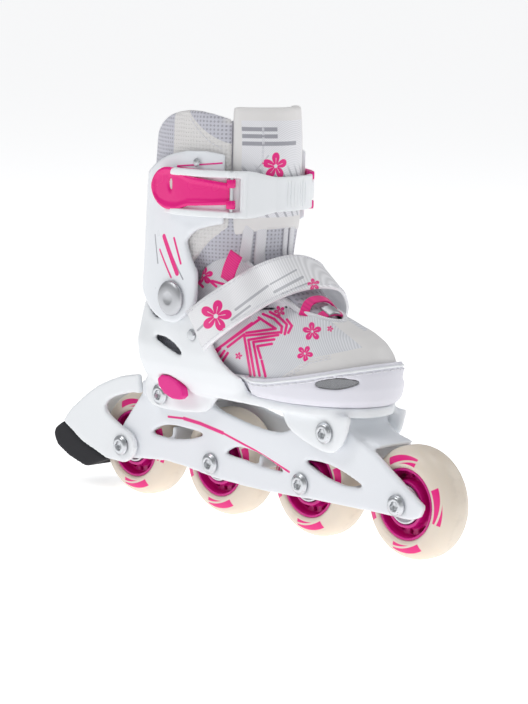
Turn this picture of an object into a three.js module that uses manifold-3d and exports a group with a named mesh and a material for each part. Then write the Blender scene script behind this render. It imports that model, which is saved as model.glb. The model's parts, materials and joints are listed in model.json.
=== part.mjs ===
// A children's adjustable inline skate for the right foot, with four wheels and a heel brake.
// Millimetres. X points to the toe, Y to the inner side of the foot, Z up. The drawing frame has its
// origin on the ground halfway between the axles; the last lines move it to the middle of the base.
import * as THREE from "three";
import { mergeVertices } from "three/addons/utils/BufferGeometryUtils.js";
import Module from "manifold-3d";

const wasm = await Module();
wasm.setup();

// ---------------------------------------------------------------- driving dimensions
const GAP = 0.3; // running gap between touching pieces

const WHEEL_RADIUS = 32;
const WHEEL_WIDTH = 24;
const TREAD_BAND = 3.6; // flat strip round the middle of the tread
const WHEEL_PITCH = 75.4;
const WHEEL_COUNT = 4;
const HUB_RADIUS = 19.6;
const BEARING_RADIUS = 11;
const BEARING_WIDTH = 7;
const AXLE_RADIUS = 4;
const BOLT_HEAD_RADIUS = 6.5;
const BOLT_HEAD_HEIGHT = 2.6;

const PLATE_INNER = 13.6; // inner face of a frame side plate, from the middle plane
const PLATE_THICKNESS = 3.6;
const DECK_HALF_WIDTH = 20;
const DECK_TOP = 74;

const ARM_THICKNESS = 4; // brake arm cheek
const PAD_HALF_WIDTH = 20.8;

const SHELL_WALL = 3;
const TRAY_BOTTOM = 75; // underside of the heel shell's sole
const TRAY_THICKNESS = 6;
const EAR_THICKNESS = 4; // lugs of the heel shell that grip the frame
const TOE_WALL = 2.6;
const TOE_LENGTH = 88.5; // tip of the toe shell
const TOE_HALF_WIDTH = 39.5;
const TOE_CENTRE = 35; // where the toe's round end starts
const WAIST_END = 6.4; // the toe is narrow behind here, to slide into the heel shell
const TOE_TRAVEL = 20; // how far the toe slides out
const VAMP_WALL = 2.2;
const FOOTBED_THICKNESS = 2;
const LINER_WALL = 4;

const CUFF_WALL = 3.5;
const CUFF_HALF_WIDTH = 41.5;
const CUFF_REAR_CENTRE = -50; // where the cuff's round back starts
const CUFF_FRONT_CENTRE = -43; // where the cuff's round front starts
const CUFF_FRONT_REACH = 45; // from there to the front of the cuff's ellipse
const PIVOT = { x: -48, z: 131 };
const PIVOT_RADIUS = 5;
const COLLAR_WALL = 6;

const BAND_THICKNESS = 2.6;
const BAND_WIDTH = 20;
const BAND_HEIGHT = 194; // middle of the buckle strap
const LEVER_THICKNESS = 2.8;
const HINGE_PIN_RADIUS = 1.1;
const KNUCKLE_RADIUS = 2.3;

const STRAP_WIDTH = 26; // instep strap
const STRAP_THICKNESS = 2.4;

const BUTTON_TRAVEL = 1.6;
const SPRING_HEIGHT = 2.5;

// ---------------------------------------------------------------- sizes worked out from those
const AXLES = Array.from(
  { length: WHEEL_COUNT },
  (_, i) => ((WHEEL_COUNT - 1) / 2 - i) * WHEEL_PITCH,
);
const FRONT_AXLE = AXLES[0];
const REAR_AXLE = AXLES[WHEEL_COUNT - 1];
const PLATE_OUTER = PLATE_INNER + PLATE_THICKNESS;
const TRAY_TOP = TRAY_BOTTOM + TRAY_THICKNESS;
const SOLE_BOTTOM = TRAY_TOP + GAP;
const SOLE_TOP = SOLE_BOTTOM + 3.1; // inside floor of the toe shell
const CUFF_INNER = CUFF_HALF_WIDTH - CUFF_WALL;

// ---------------------------------------------------------------- solids
const colour = {
  white: [0xf1f3f7, 0.35, 0],
  sole: [0xeceaf2, 0.4, 0],
  fabric: [0xe6e5ea, 0.8, 0],
  mesh: [0xb9b9c4, 0.9, 0],
  pink: [0xe6128a, 0.35, 0],
  hub: [0xb8127a, 0.4, 0],
  tyre: [0xe4d8cb, 0.35, 0],
  steel: [0xc4c8cc, 0.25, 1],
  black: [0x1b1c1e, 0.6, 0],
};
const skate = new THREE.Group();

// A closed geometry as a manifold solid with its faces pointing out.
function solid(geometry) {
  const bare = geometry.clone();
  bare.deleteAttribute("normal");
  bare.deleteAttribute("uv");
  const merged = mergeVertices(bare, 1e-4);
  const positions = merged.attributes.position.array;
  const triangles = new Uint32Array(merged.index.array);
  const build = () =>
    new wasm.Manifold(
      new wasm.Mesh({ numProp: 3, vertProperties: positions, triVerts: triangles }),
    );
  const made = build();
  if (made.volume() > 0) return made;
  for (let i = 0; i < triangles.length; i += 3)
    [triangles[i + 1], triangles[i + 2]] = [triangles[i + 2], triangles[i + 1]];
  return build();
}

// Adds a solid to the skate as a named mesh.
function addPart(name, body, [hex, roughness, metalness]) {
  const { vertProperties, triVerts } = body.getMesh();
  const geometry = new THREE.BufferGeometry();
  geometry.setAttribute("position", new THREE.BufferAttribute(new Float32Array(vertProperties), 3));
  geometry.setIndex(new THREE.BufferAttribute(new Uint32Array(triVerts), 1));
  geometry.computeVertexNormals();
  const material = new THREE.MeshStandardMaterial({ color: hex, roughness, metalness });
  const mesh = new THREE.Mesh(geometry, material);
  mesh.name = name;
  skate.add(mesh);
}

const join = (first, ...rest) => rest.reduce((all, next) => all.add(next), first);
const cut = (body, ...tools) => tools.reduce((left, tool) => left.subtract(tool), body);
const mix = (a, b, t) => a + (b - a) * t;
const clamp01 = (t) => Math.min(1, Math.max(0, t));
const smooth = (from, to, x) => {
  const t = clamp01((x - from) / (to - from));
  return t * t * (3 - 2 * t);
};
// The corner radius of a regular polygon whose flats touch a circle.
const around = (radius, sides) => radius / Math.cos(Math.PI / sides);

function box(x0, x1, y0, y1, z0, z1) {
  const geometry = new THREE.BoxGeometry(x1 - x0, y1 - y0, z1 - z0);
  return solid(geometry.translate((x0 + x1) / 2, (y0 + y1) / 2, (z0 + z1) / 2));
}

// A shape through points; each stretch given as an array of points becomes a smooth curve.
function outline(start, ...stretches) {
  const shape = new THREE.Shape();
  shape.moveTo(...start);
  for (const stretch of stretches) {
    if (Array.isArray(stretch[0])) {
      const curve = new THREE.SplineCurve([
        shape.currentPoint.clone(),
        ...stretch.map(([x, y]) => new THREE.Vector2(x, y)),
      ]);
      for (const point of curve.getPoints(stretch.length * 2).slice(1)) shape.lineTo(point.x, point.y);
    } else shape.lineTo(...stretch);
  }
  return shape;
}

// Extrudes an outline drawn in X and Z from y0 to y1.
function alongY(shape, y0, y1) {
  const geometry = new THREE.ExtrudeGeometry(shape, { depth: y1 - y0, bevelEnabled: false, curveSegments: 5 });
  return solid(geometry.rotateX(Math.PI / 2).translate(0, y1, 0));
}

// Extrudes an outline drawn in X and Y from z0 to z1.
function alongZ(shape, z0, z1) {
  const geometry = new THREE.ExtrudeGeometry(shape, { depth: z1 - z0, bevelEnabled: false, curveSegments: 5 });
  return solid(geometry.translate(0, 0, z0));
}

function rodY(radius, y0, y1, x, z, sides = 16) {
  const geometry = new THREE.CylinderGeometry(radius, radius, y1 - y0, sides);
  return solid(geometry.translate(x, (y0 + y1) / 2, z));
}

function rodZ(radius, z0, z1, x, y, sides = 12) {
  const geometry = new THREE.CylinderGeometry(radius, radius, z1 - z0, sides).rotateX(Math.PI / 2);
  return solid(geometry.translate(x, y, (z0 + z1) / 2));
}

// Turns a profile of [radius, y] points about the Y axis, with the middle of a facet straight down.
function turned(profile, sides, x = 0, z = 0) {
  const points = profile.map(([r, y]) => new THREE.Vector2(r, y));
  if (profile[0][0] > 0) points.push(points[0].clone());
  const geometry = new THREE.LatheGeometry(points, sides, Math.PI / sides);
  return solid(geometry.translate(x, 0, z));
}

// Skins closed rings of equal length, and closes both ends with a fan from the middle.
function skinned(rings) {
  const count = rings[0].length;
  const points = rings.flat();
  const index = [];
  for (let r = 0; r + 1 < rings.length; r++)
    for (let i = 0; i < count; i++) {
      const a = r * count + i;
      const b = r * count + ((i + 1) % count);
      index.push(a, b, a + count, b, b + count, a + count);
    }
  for (const [ring, first, turn] of [
    [rings[0], 0, 1],
    [rings.at(-1), (rings.length - 1) * count, 0],
  ]) {
    const middle = new THREE.Vector3();
    for (const point of ring) middle.add(point);
    points.push(middle.divideScalar(count));
    for (let i = 0; i < count; i++) {
      const pair = [first + i, first + ((i + 1) % count)];
      index.push(points.length - 1, pair[turn], pair[1 - turn]);
    }
  }
  const geometry = new THREE.BufferGeometry();
  geometry.setAttribute("position", new THREE.Float32BufferAttribute(points.flatMap((p) => p.toArray()), 3));
  geometry.setIndex(index);
  return solid(geometry);
}

// A level ring round the leg: half an ellipse behind rearCentre, half an ellipse before frontCentre.
function legRing({ z, halfWidth, rear, front, rearCentre = CUFF_REAR_CENTRE, frontCentre = CUFF_FRONT_CENTRE }) {
  const half = 12;
  const ring = [];
  for (let i = 0; i <= half; i++) {
    const angle = Math.PI * (i / half - 0.5);
    ring.push(
      new THREE.Vector3(frontCentre + (front - frontCentre) * Math.cos(angle), halfWidth * Math.sin(angle), z),
    );
  }
  for (let i = 0; i <= half; i++) {
    const angle = Math.PI * (i / half + 0.5);
    ring.push(
      new THREE.Vector3(rearCentre + (rearCentre - rear) * Math.cos(angle), halfWidth * Math.sin(angle), z),
    );
  }
  return ring;
}

// A level ring round the front of the foot: straight across at rear, waisted, and round at the toe.
function toeRing({ z, tip, halfWidth, waist, rear, flare = WAIST_END + 13 }) {
  const arc = 12;
  const side = [
    [rear, waist],
    [mix(rear, WAIST_END, 0.5), waist],
    [WAIST_END, waist],
    [mix(WAIST_END, flare, 0.4), mix(waist, halfWidth, 0.6)],
    [flare, mix(waist, halfWidth, 0.94)],
  ];
  const ring = side.map(([x, w]) => new THREE.Vector3(x, -w, z));
  for (let i = 0; i <= arc; i++) {
    const angle = Math.PI * (i / arc - 0.5);
    ring.push(
      new THREE.Vector3(TOE_CENTRE + (tip - TOE_CENTRE) * Math.cos(angle), halfWidth * Math.sin(angle), z),
    );
  }
  for (const [x, w] of side.reverse()) ring.push(new THREE.Vector3(x, w, z));
  return ring;
}

const SCREW_SIDES = 10;

// A hexagonal socket in a screw head that faces -Y, its mouth at y.
const socket = (x, y, z, radius = 2.4) => rodY(radius, y - 1, y + 1.6, x, z, 6);

// A screw along Y: a domed head outside outerY and a shank that ends at endY.
function bolt(x, z, outerY, endY, shank = AXLE_RADIUS, head = BOLT_HEAD_RADIUS) {
  const y = -outerY - GAP;
  const profile = [
    [0, y - BOLT_HEAD_HEIGHT],
    [head * 0.62, y - BOLT_HEAD_HEIGHT],
    [head, y - BOLT_HEAD_HEIGHT * 0.45],
    [head, y],
    [shank, y],
    [shank, endY],
    [0, endY],
  ];
  return cut(turned(profile, SCREW_SIDES, x, z), socket(x, y - BOLT_HEAD_HEIGHT, z));
}

// The cap nut on the inner side of the same hole.
function capNut(x, z, outerY, shank = AXLE_RADIUS) {
  const y = outerY + GAP;
  const bore = around(shank + GAP / 2, SCREW_SIDES);
  const profile = [
    [bore, y],
    [BOLT_HEAD_RADIUS, y],
    [BOLT_HEAD_RADIUS, y + BOLT_HEAD_HEIGHT * 0.5],
    [BOLT_HEAD_RADIUS * 0.8, y + BOLT_HEAD_HEIGHT],
    [bore, y + BOLT_HEAD_HEIGHT],
  ];
  return turned(profile, SCREW_SIDES, x, z);
}

// ---------------------------------------------------------------- wheels
const TYRE_SIDES = 20;
const HUB_SIDES = 14;
const BEARING_SIDES = 12;
const BEARING_OUTER_Y = WHEEL_WIDTH / 2;
const BEARING_INNER_Y = BEARING_OUTER_Y - BEARING_WIDTH;

function tyre(x) {
  const w = WHEEL_WIDTH / 2;
  const r = WHEEL_RADIUS;
  const half = [
    [HUB_RADIUS + GAP, w - 1.2],
    [r - 9.2, w],
    [r - 5.2, w - 1.2],
    [r - 2.2, w - 4.2],
    [r - 0.6, TREAD_BAND / 2 + 3],
    [r, TREAD_BAND / 2],
  ].map(([radius, y]) => [around(radius, TYRE_SIDES), y]);
  const mirrored = half.map(([radius, y]) => [radius, -y]).reverse();
  return turned([...half, ...mirrored], TYRE_SIDES, x, r);
}

function hub(x) {
  const rim = WHEEL_WIDTH / 2 - 1.4;
  const web = 4.6;
  const seat = around(BEARING_RADIUS + GAP, HUB_SIDES);
  const half = [
    [BEARING_RADIUS - 1.6, BEARING_INNER_Y - GAP],
    [seat, BEARING_INNER_Y - GAP],
    [seat, rim],
    [seat + 2, rim],
    [seat + 2, web],
    [HUB_RADIUS - 1.8, web],
    [HUB_RADIUS - 1.8, rim],
    [HUB_RADIUS, rim],
  ];
  const mirrored = half.map(([radius, y]) => [radius, -y]).reverse();
  let body = turned([...half, ...mirrored], HUB_SIDES, x, WHEEL_RADIUS);
  const windows = 5;
  for (let i = 0; i < windows; i++) {
    const angle = (i / windows) * 2 * Math.PI;
    const inner = seat + 2.4;
    const outer = HUB_RADIUS - 2.2;
    const corner = (radius, turn) => [
      x + radius * Math.cos(angle + turn),
      WHEEL_RADIUS + radius * Math.sin(angle + turn),
    ];
    const hole = outline(corner(inner, -0.3), corner(outer, -0.42), corner(outer, 0.42), corner(inner, 0.3));
    body = cut(body, alongY(hole, -web - 1, web + 1));
  }
  return body;
}

function bearing(x, side) {
  const bore = around(AXLE_RADIUS + GAP / 2, BEARING_SIDES);
  const near = side * BEARING_INNER_Y;
  const far = side * BEARING_OUTER_Y;
  const y0 = Math.min(near, far);
  const y1 = Math.max(near, far);
  const profile = [
    [bore, y0],
    [BEARING_RADIUS, y0],
    [BEARING_RADIUS, y1],
    [bore, y1],
  ];
  return turned(profile, BEARING_SIDES, x, WHEEL_RADIUS);
}

AXLES.forEach((x, i) => {
  const name = `wheel_${i + 1}`;
  const outer = x === REAR_AXLE ? PLATE_OUTER + GAP + ARM_THICKNESS : PLATE_OUTER;
  addPart(`${name}_tyre`, tyre(x), colour.tyre);
  addPart(`${name}_hub`, hub(x), colour.hub);
  addPart(`${name}_bearing_lateral`, bearing(x, -1), colour.steel);
  addPart(`${name}_bearing_medial`, bearing(x, 1), colour.steel);
  addPart(`${name}_axle_bolt`, bolt(x, WHEEL_RADIUS, outer, outer + GAP + BOLT_HEAD_HEIGHT), colour.steel);
  addPart(`${name}_axle_nut`, capNut(x, WHEEL_RADIUS, outer), colour.steel);
});

// ---------------------------------------------------------------- frame
const MOUNT_FRONT = { x: 63, z: 66 };
const MOUNT_REAR = { x: -75, z: 69 };
const MOUNT_RADIUS = 3.2;
const REAR_DECK = { x0: -97, x1: -46 };
const FRONT_DECK = { x0: 40, x1: 70.5 };
const ARCH_CLEARANCE = 2; // deck underside above the wheels

function framePlate(side) {
  const nose = FRONT_AXLE + 18.8;
  const heel = REAR_AXLE - 8.5;
  const shape = outline(
    [nose, WHEEL_RADIUS + 2.5],
    [[nose - 2.5, 28], [nose - 10, 25.2]],
    [[91, 25.1], [46, 24.2], [12, 22.9], [-31, 23.4], [-53, 25.6], [-79, 27.2], [REAR_AXLE, 23.6]],
    [[heel, 29], [heel + 0.5, 38], [-116, 46]],
    [REAR_DECK.x0, DECK_TOP - 4],
    [REAR_DECK.x0 + 3, DECK_TOP],
    [REAR_DECK.x1, DECK_TOP],
    [[-36, 66], [-22, 62.5], [-4, 59.5], [12, 58.5], [26, 61], [FRONT_DECK.x0, DECK_TOP]],
    [FRONT_DECK.x1, DECK_TOP],
    [[74, 69], [81, 64.4], [90, 60.4], [97, 56.6]],
  );
  const lenses = [
    outline(
      [-92.4, 42.3],
      [[-84, 47.5], [-71, 49.9], [-56, 49.4], [-42.9, 48.6]],
      [[-56, 44], [-70.8, 41.6], [-82, 41.4], [-92.4, 42.3]],
    ),
    outline(
      [-27.4, 39.3],
      [[-20, 44], [-10, 45.3], [6, 43.2], [26.1, 36]],
      [[3.8, 36.5], [-12, 38.4], [-27.4, 39.3]],
    ),
    outline([38, 45.6], [[48, 46.8], [60, 46.2], [74, 43], [88.3, 37.6]], [[71, 36.4], [54, 39.4], [38, 45.6]]),
  ];
  const near = side < 0 ? -PLATE_OUTER : PLATE_INNER;
  return cut(
    alongY(shape, near, near + PLATE_THICKNESS),
    ...lenses.map((hole) => alongY(hole, near - 1, near + PLATE_THICKNESS + 1)),
  );
}

function frame() {
  const crown = 2 * WHEEL_RADIUS + ARCH_CLEARANCE;
  const parts = [framePlate(1)];
  parts.push(box(REAR_DECK.x0, REAR_DECK.x1, -DECK_HALF_WIDTH, DECK_HALF_WIDTH, crown, DECK_TOP));
  parts.push(box(FRONT_DECK.x0, FRONT_DECK.x1, -DECK_HALF_WIDTH, DECK_HALF_WIDTH, crown, DECK_TOP));
  const bridge = outline(
    [FRONT_DECK.x1 - 4, crown - 4],
    [[76, 59], [86, 58.4], [95, 61]],
    [95.5, 62.4],
    [[82, 65.6], [74, 69.4], [FRONT_DECK.x1, DECK_TOP]],
    [FRONT_DECK.x1 - 4, DECK_TOP],
  );
  parts.push(alongY(bridge, -PLATE_INNER, PLATE_INNER));
  for (let i = 0; i + 1 < WHEEL_COUNT; i++) {
    const x = (AXLES[i] + AXLES[i + 1]) / 2;
    parts.push(box(x - 1.5, x + 1.5, -PLATE_INNER, PLATE_INNER, 34, 36 + 6 * i));
  }
  const bossInner = BEARING_OUTER_Y + GAP;
  for (const x of AXLES)
    for (const side of [-1, 1]) {
      const near = side < 0 ? -PLATE_INNER - 0.5 : bossInner;
      parts.push(rodY(AXLE_RADIUS + 2.4, near, near + PLATE_INNER + 0.5 - bossInner, x, WHEEL_RADIUS, 12));
    }
  const holes = AXLES.map((x) => rodY(around(AXLE_RADIUS + GAP, 14), -40, 40, x, WHEEL_RADIUS, 14));
  for (const mount of [MOUNT_FRONT, MOUNT_REAR]) {
    const { x, z } = mount;
    parts.push(box(x - 6.5, x + 6.5, -DECK_HALF_WIDTH, DECK_HALF_WIDTH, z - 6, DECK_TOP - 1));
    holes.push(rodY(around(MOUNT_RADIUS + GAP, 12), -40, 40, mount.x, mount.z, 12));
  }
  return cut(join(framePlate(-1), ...parts), ...holes);
}
addPart("frame", frame(), colour.white);

// ---------------------------------------------------------------- heel brake
const PAD_SEAM = [[-169.7, 39.1], [-151, 28.7], [-127.2, 21.4]]; // where the arm meets the pad
const PAD_SCREW = { x: -158, z: 42 };
function brakeArm() {
  const cheek = outline(
    PAD_SEAM[0],
    [[-164, 46], [-157.7, 51.4], [-138, 65.2], [-115.7, 74.3], [-99, 77.6]],
    [-97.6, 66],
    [[-106, 65.2], [-122, 60.5], [-130.5, 54.5], [-127, 49], [-114, 43]],
    [[-105, 39.5], [-101.5, 32], [-105.6, 24.4], [REAR_AXLE, 21]],
    PAD_SEAM[2],
    PAD_SEAM[1],
  );
  const back = outline(PAD_SEAM[0], [[-164, 46], [-157.7, 51.4], [-146, 60]], [-148.6, 34], PAD_SEAM[1]);
  const y0 = PLATE_OUTER + GAP;
  const y1 = y0 + ARM_THICKNESS;
  const throughBolt = rodY(around(AXLE_RADIUS + GAP, 14), -40, 40, REAR_AXLE, WHEEL_RADIUS, 14);
  const seat = rodY(around(2 + GAP, 8), 10, 40, PAD_SCREW.x, PAD_SCREW.z, 8);
  return cut(join(alongY(cheek, y0, y1), alongY(cheek, -y1, -y0), alongY(back, -y1, y1)), throughBolt, seat);
}
addPart("brake_arm", brakeArm(), colour.white);

function brakePad() {
  const [top, bend, tail] = PAD_SEAM;
  const slope = new THREE.Vector2(tail[0] - top[0], tail[1] - top[1]).normalize();
  const below = ([x, z]) => [x + slope.y * GAP * 1.4, z - slope.x * GAP * 1.4];
  const rear = [[-178, 33.4], [-178.6, 28], [-175.4, 22.8]];
  const shape = outline(below(top), rear, [-163.6, 17.2], [-148.2, 13.2], below(tail), below(bend));
  const well = WHEEL_WIDTH / 2 + 2 * GAP;
  const wheelWell = rodY(WHEEL_RADIUS + 2, -well, well, REAR_AXLE, WHEEL_RADIUS, 24);
  return cut(alongY(shape, -PAD_HALF_WIDTH, PAD_HALF_WIDTH), wheelWell);
}
addPart("brake_pad", brakePad(), colour.black);
const armSide = PLATE_OUTER + GAP + ARM_THICKNESS;
const padScrew = bolt(PAD_SCREW.x, PAD_SCREW.z, armSide, -12, 2, 4).mirror([0, 1, 0]);
addPart("brake_pad_screw", padScrew, colour.steel);

// ---------------------------------------------------------------- heel shell
const SHELL_HALF_WIDTH = CUFF_INNER - 1.1; // where the cuff laps over the shell
const SHELL_FRONT = 6; // front end of the shell's side walls
const shellProfile = [
  { z: DECK_TOP + GAP, halfWidth: 28.5, rear: -95, rearCentre: -68 },
  { z: 82, halfWidth: 33.6, rear: -100, rearCentre: -68 },
  { z: 90, halfWidth: 36.4, rear: -104, rearCentre: -68 },
  { z: 100, halfWidth: 37.6, rear: -106, rearCentre: -66 },
  { z: 112, halfWidth: SHELL_HALF_WIDTH, rear: -106, rearCentre: -56 },
  { z: 122, halfWidth: SHELL_HALF_WIDTH, rear: -104, rearCentre: CUFF_REAR_CENTRE },
  { z: 130, halfWidth: SHELL_HALF_WIDTH, rear: -98.4, rearCentre: CUFF_REAR_CENTRE },
  { z: 146, halfWidth: SHELL_HALF_WIDTH, rear: -97.4, rearCentre: CUFF_REAR_CENTRE },
];
const shellRing = (inset, front) => (ring) =>
  legRing({
    z: ring.z,
    halfWidth: ring.halfWidth - inset,
    rear: ring.rear + inset,
    front,
    rearCentre: ring.rearCentre,
    frontCentre: -6,
  });

// The plan of the sole plate that the toe slides on.
function trayOutline(inset) {
  const shape = new THREE.Shape();
  const halfWidth = TOE_HALF_WIDTH - 5.5 - inset;
  shape.moveTo(-70, -28);
  shape.lineTo(-10, -31 + inset);
  shape.lineTo(TOE_CENTRE, -halfWidth);
  shape.absellipse(
    TOE_CENTRE,
    0,
    TOE_LENGTH - TOE_CENTRE - 5 - inset,
    halfWidth,
    -Math.PI / 2,
    Math.PI / 2,
    false,
    0,
  );
  shape.lineTo(-10, 31 - inset);
  shape.lineTo(-70, 28);
  return shape;
}

const BUTTON = { x: -56, z: 76.6, halfLength: 12, halfHeight: 6 };
const BUTTON_SEAT = -DECK_HALF_WIDTH - EAR_THICKNESS - 0.6; // bottom of the pocket behind the button
const RACK = { x0: -62, x1: -2, y0: -17, y1: -9, z0: 77.4 }; // toothed bar under the toe's sole
const STRAP_SCREW = { x: -35, z: 110.5 };
const SCREW_RADIUS = 1.6;

function oval({ x, z, halfLength, halfHeight }, grow = 0) {
  const shape = new THREE.Shape();
  shape.absellipse(x, z, halfLength + grow, halfHeight + grow, 0, 2 * Math.PI, false, -0.32);
  return shape;
}

function heelShell() {
  const outer = skinned(shellProfile.map(shellRing(0, 20)));
  const cavity = skinned([
    ...[{ ...shellProfile[1], z: TRAY_TOP, halfWidth: 30.8 }, ...shellProfile.slice(2)].map(shellRing(
      SHELL_WALL,
      60,
    )),
    shellRing(SHELL_WALL, 60)({ ...shellProfile.at(-1), z: 160 }),
  ]);
  const silhouette = outline(
    [-120, 60],
    [-120, 127],
    [-86, 127],
    [[-76, 119], [-66, 117], [PIVOT.x - 11, 121]],
    [[PIVOT.x - 11, PIVOT.z], [PIVOT.x, PIVOT.z + 11], [PIVOT.x + 11, PIVOT.z]],
    [[-33, 119], [-24, 114], [-15, 103], [-6, 95], [SHELL_FRONT - 1, 90]],
    [SHELL_FRONT, 60],
  );
  let body = outer.intersect(alongY(silhouette, -60, 60)).subtract(cavity);
  body = body.add(alongZ(trayOutline(0), TRAY_BOTTOM, TRAY_TOP));
  const earInner = DECK_HALF_WIDTH + GAP;
  const rearEar = outline(
    [-91, TRAY_BOTTOM + 2],
    [-89, 66],
    [[-84, 61.4], [-74, 60], [-58, 60.4], [-44, 62]],
    [[-36, 64], [-30, 70], [-24, 77]],
  );
  const frontEar = outline(
    [24, TRAY_BOTTOM + 2],
    [[30, 67], [36, 62], [48, 57.5], [60, 54.5], [68, 55], [74, 60], [78, 68], [80, 77]],
  );
  for (const ear of [rearEar, frontEar])
    for (const y of [earInner, -earInner - EAR_THICKNESS]) body = body.add(alongY(ear, y, y + EAR_THICKNESS));
  const lens = outline(
    [-72, 107],
    [[-64, 103.4], [-52, 99], [-41, 96]],
    [[-50, 103], [-60, 106.4], [-72, 107]],
  );
  return cut(
    body,
    alongY(lens, -60, -20),
    alongY(lens, 20, 60),
    rodY(around(PIVOT_RADIUS + GAP, 16), -60, 60, PIVOT.x, PIVOT.z, 16),
    rodY(around(MOUNT_RADIUS + GAP, 12), -60, 60, MOUNT_FRONT.x, MOUNT_FRONT.z, 12),
    rodY(around(MOUNT_RADIUS + GAP, 12), -60, 60, MOUNT_REAR.x, MOUNT_REAR.z, 12),
    alongY(oval(BUTTON, GAP), -60, BUTTON_SEAT),
    rodY(BOLT_HEAD_RADIUS + 2 * GAP, -60, -earInner - EAR_THICKNESS, MOUNT_REAR.x, MOUNT_REAR.z, 12),
    rodY(BOLT_HEAD_RADIUS + 2 * GAP, earInner + EAR_THICKNESS, 60, MOUNT_REAR.x, MOUNT_REAR.z, 12),
    box(RACK.x0 - GAP, RACK.x1 + TOE_TRAVEL + GAP, RACK.y0 - GAP, RACK.y1 + GAP, RACK.z0 - GAP, TRAY_TOP + 1),
    rodY(around(SCREW_RADIUS + GAP, 8), -60, -20, STRAP_SCREW.x, STRAP_SCREW.z, 8),
  );
}
addPart("heel_shell", heelShell(), colour.white);
for (const [name, mount] of [["front_mount", MOUNT_FRONT], ["rear_mount", MOUNT_REAR]]) {
  const outer = DECK_HALF_WIDTH + GAP + EAR_THICKNESS;
  addPart(
    `${name}_bolt`,
    bolt(mount.x, mount.z, outer, outer + GAP + BOLT_HEAD_HEIGHT, MOUNT_RADIUS),
    colour.steel,
  );
  addPart(`${name}_nut`, capNut(mount.x, mount.z, outer, MOUNT_RADIUS), colour.steel);
}

// ---------------------------------------------------------------- toe shell, upper and vents
const TOE_REAR = -62; // back edge of the sliding toe
const TOE_WAIST = 33.4; // half width where the toe slides inside the heel shell
const toeProfile = [
  { z: SOLE_BOTTOM, tip: TOE_LENGTH - 4.5, halfWidth: TOE_HALF_WIDTH - 3, waist: 26 },
  { z: 85, tip: TOE_LENGTH - 1.2, halfWidth: TOE_HALF_WIDTH - 0.8, waist: 29 },
  { z: 92, tip: TOE_LENGTH, halfWidth: TOE_HALF_WIDTH, waist: 32.2 },
  { z: 100, tip: TOE_LENGTH - 0.6, halfWidth: TOE_HALF_WIDTH - 0.8, waist: TOE_WAIST },
  { z: 110, tip: TOE_LENGTH - 3, halfWidth: TOE_HALF_WIDTH - 2.6, waist: TOE_WAIST },
];
const insetToe = (inset, rear) => (ring) =>
  toeRing({
    z: ring.z,
    tip: ring.tip - inset,
    halfWidth: ring.halfWidth - inset,
    waist: ring.waist - inset,
    rear,
  });
const VENT = { angle: 0.77, z: 95.2, halfLength: 14.5, halfHeight: 3 };

// The eye-shaped prism that points out of the toe at the vent; side is -1 on the outer side.
function ventPrism(side, grow, near, far) {
  const { angle, z, halfLength, halfHeight } = VENT;
  const reach = TOE_LENGTH - TOE_CENTRE;
  const shape = new THREE.Shape();
  shape.moveTo(-halfLength - grow, 0);
  shape.quadraticCurveTo(0, 2 * (halfHeight + grow), halfLength + grow, 0);
  shape.quadraticCurveTo(0, -2 * (halfHeight + grow), -halfLength - grow, 0);
  const x = TOE_CENTRE + reach * Math.cos(angle);
  const y = side * TOE_HALF_WIDTH * Math.sin(angle);
  const normal = Math.atan2((side * Math.sin(angle)) / TOE_HALF_WIDTH, Math.cos(angle) / reach);
  const geometry = new THREE.ExtrudeGeometry(
    shape,
    { depth: far - near, bevelEnabled: false, curveSegments: 6 },
  );
  geometry.translate(0, 0, near).rotateZ(side * -0.09).rotateX(Math.PI / 2).rotateZ(normal + Math.PI / 2);
  return solid(geometry.translate(x, y, z));
}

const toeRim = outline(
  [-80, 60],
  [-80, 89.5],
  [-20, 90],
  [[-1, 91.4], [29, 93.6], [58, 99.6], [77, 104.4], [90, 107.4]],
  [110, 108],
  [110, 60],
);

function toeShell() {
  const outer = skinned(toeProfile.map(insetToe(0, TOE_REAR)));
  const floor = { ...toeProfile[1], z: SOLE_TOP };
  const levels = [floor, ...toeProfile.slice(2), { ...toeProfile[4], z: 120 }];
  const inner = skinned(levels.map(insetToe(TOE_WALL, TOE_REAR - 10)));
  const body = outer.subtract(inner).intersect(alongY(toeRim, -60, 60));
  return cut(body, ventPrism(-1, 0, -12, 12), ventPrism(1, 0, -12, 12));
}
addPart("toe_shell", toeShell(), colour.sole);

// Each vent panel is a thin curved piece that fills its eye in the toe shell.
function vent(side) {
  const levels = [{ ...toeProfile[1], z: 80 }, ...toeProfile.slice(2)];
  const outer = skinned(levels.map(insetToe(0.9, TOE_REAR)));
  const under = [{ ...levels[0], z: 78 }, ...levels.slice(1), { ...toeProfile[4], z: 120 }];
  const inner = skinned(under.map(insetToe(1.9, TOE_REAR - 10)));
  return outer.subtract(inner).intersect(ventPrism(side, -GAP, -12, 12));
}
addPart("vent_lateral", vent(-1), colour.mesh);
addPart("vent_medial", vent(1), colour.mesh);

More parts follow.
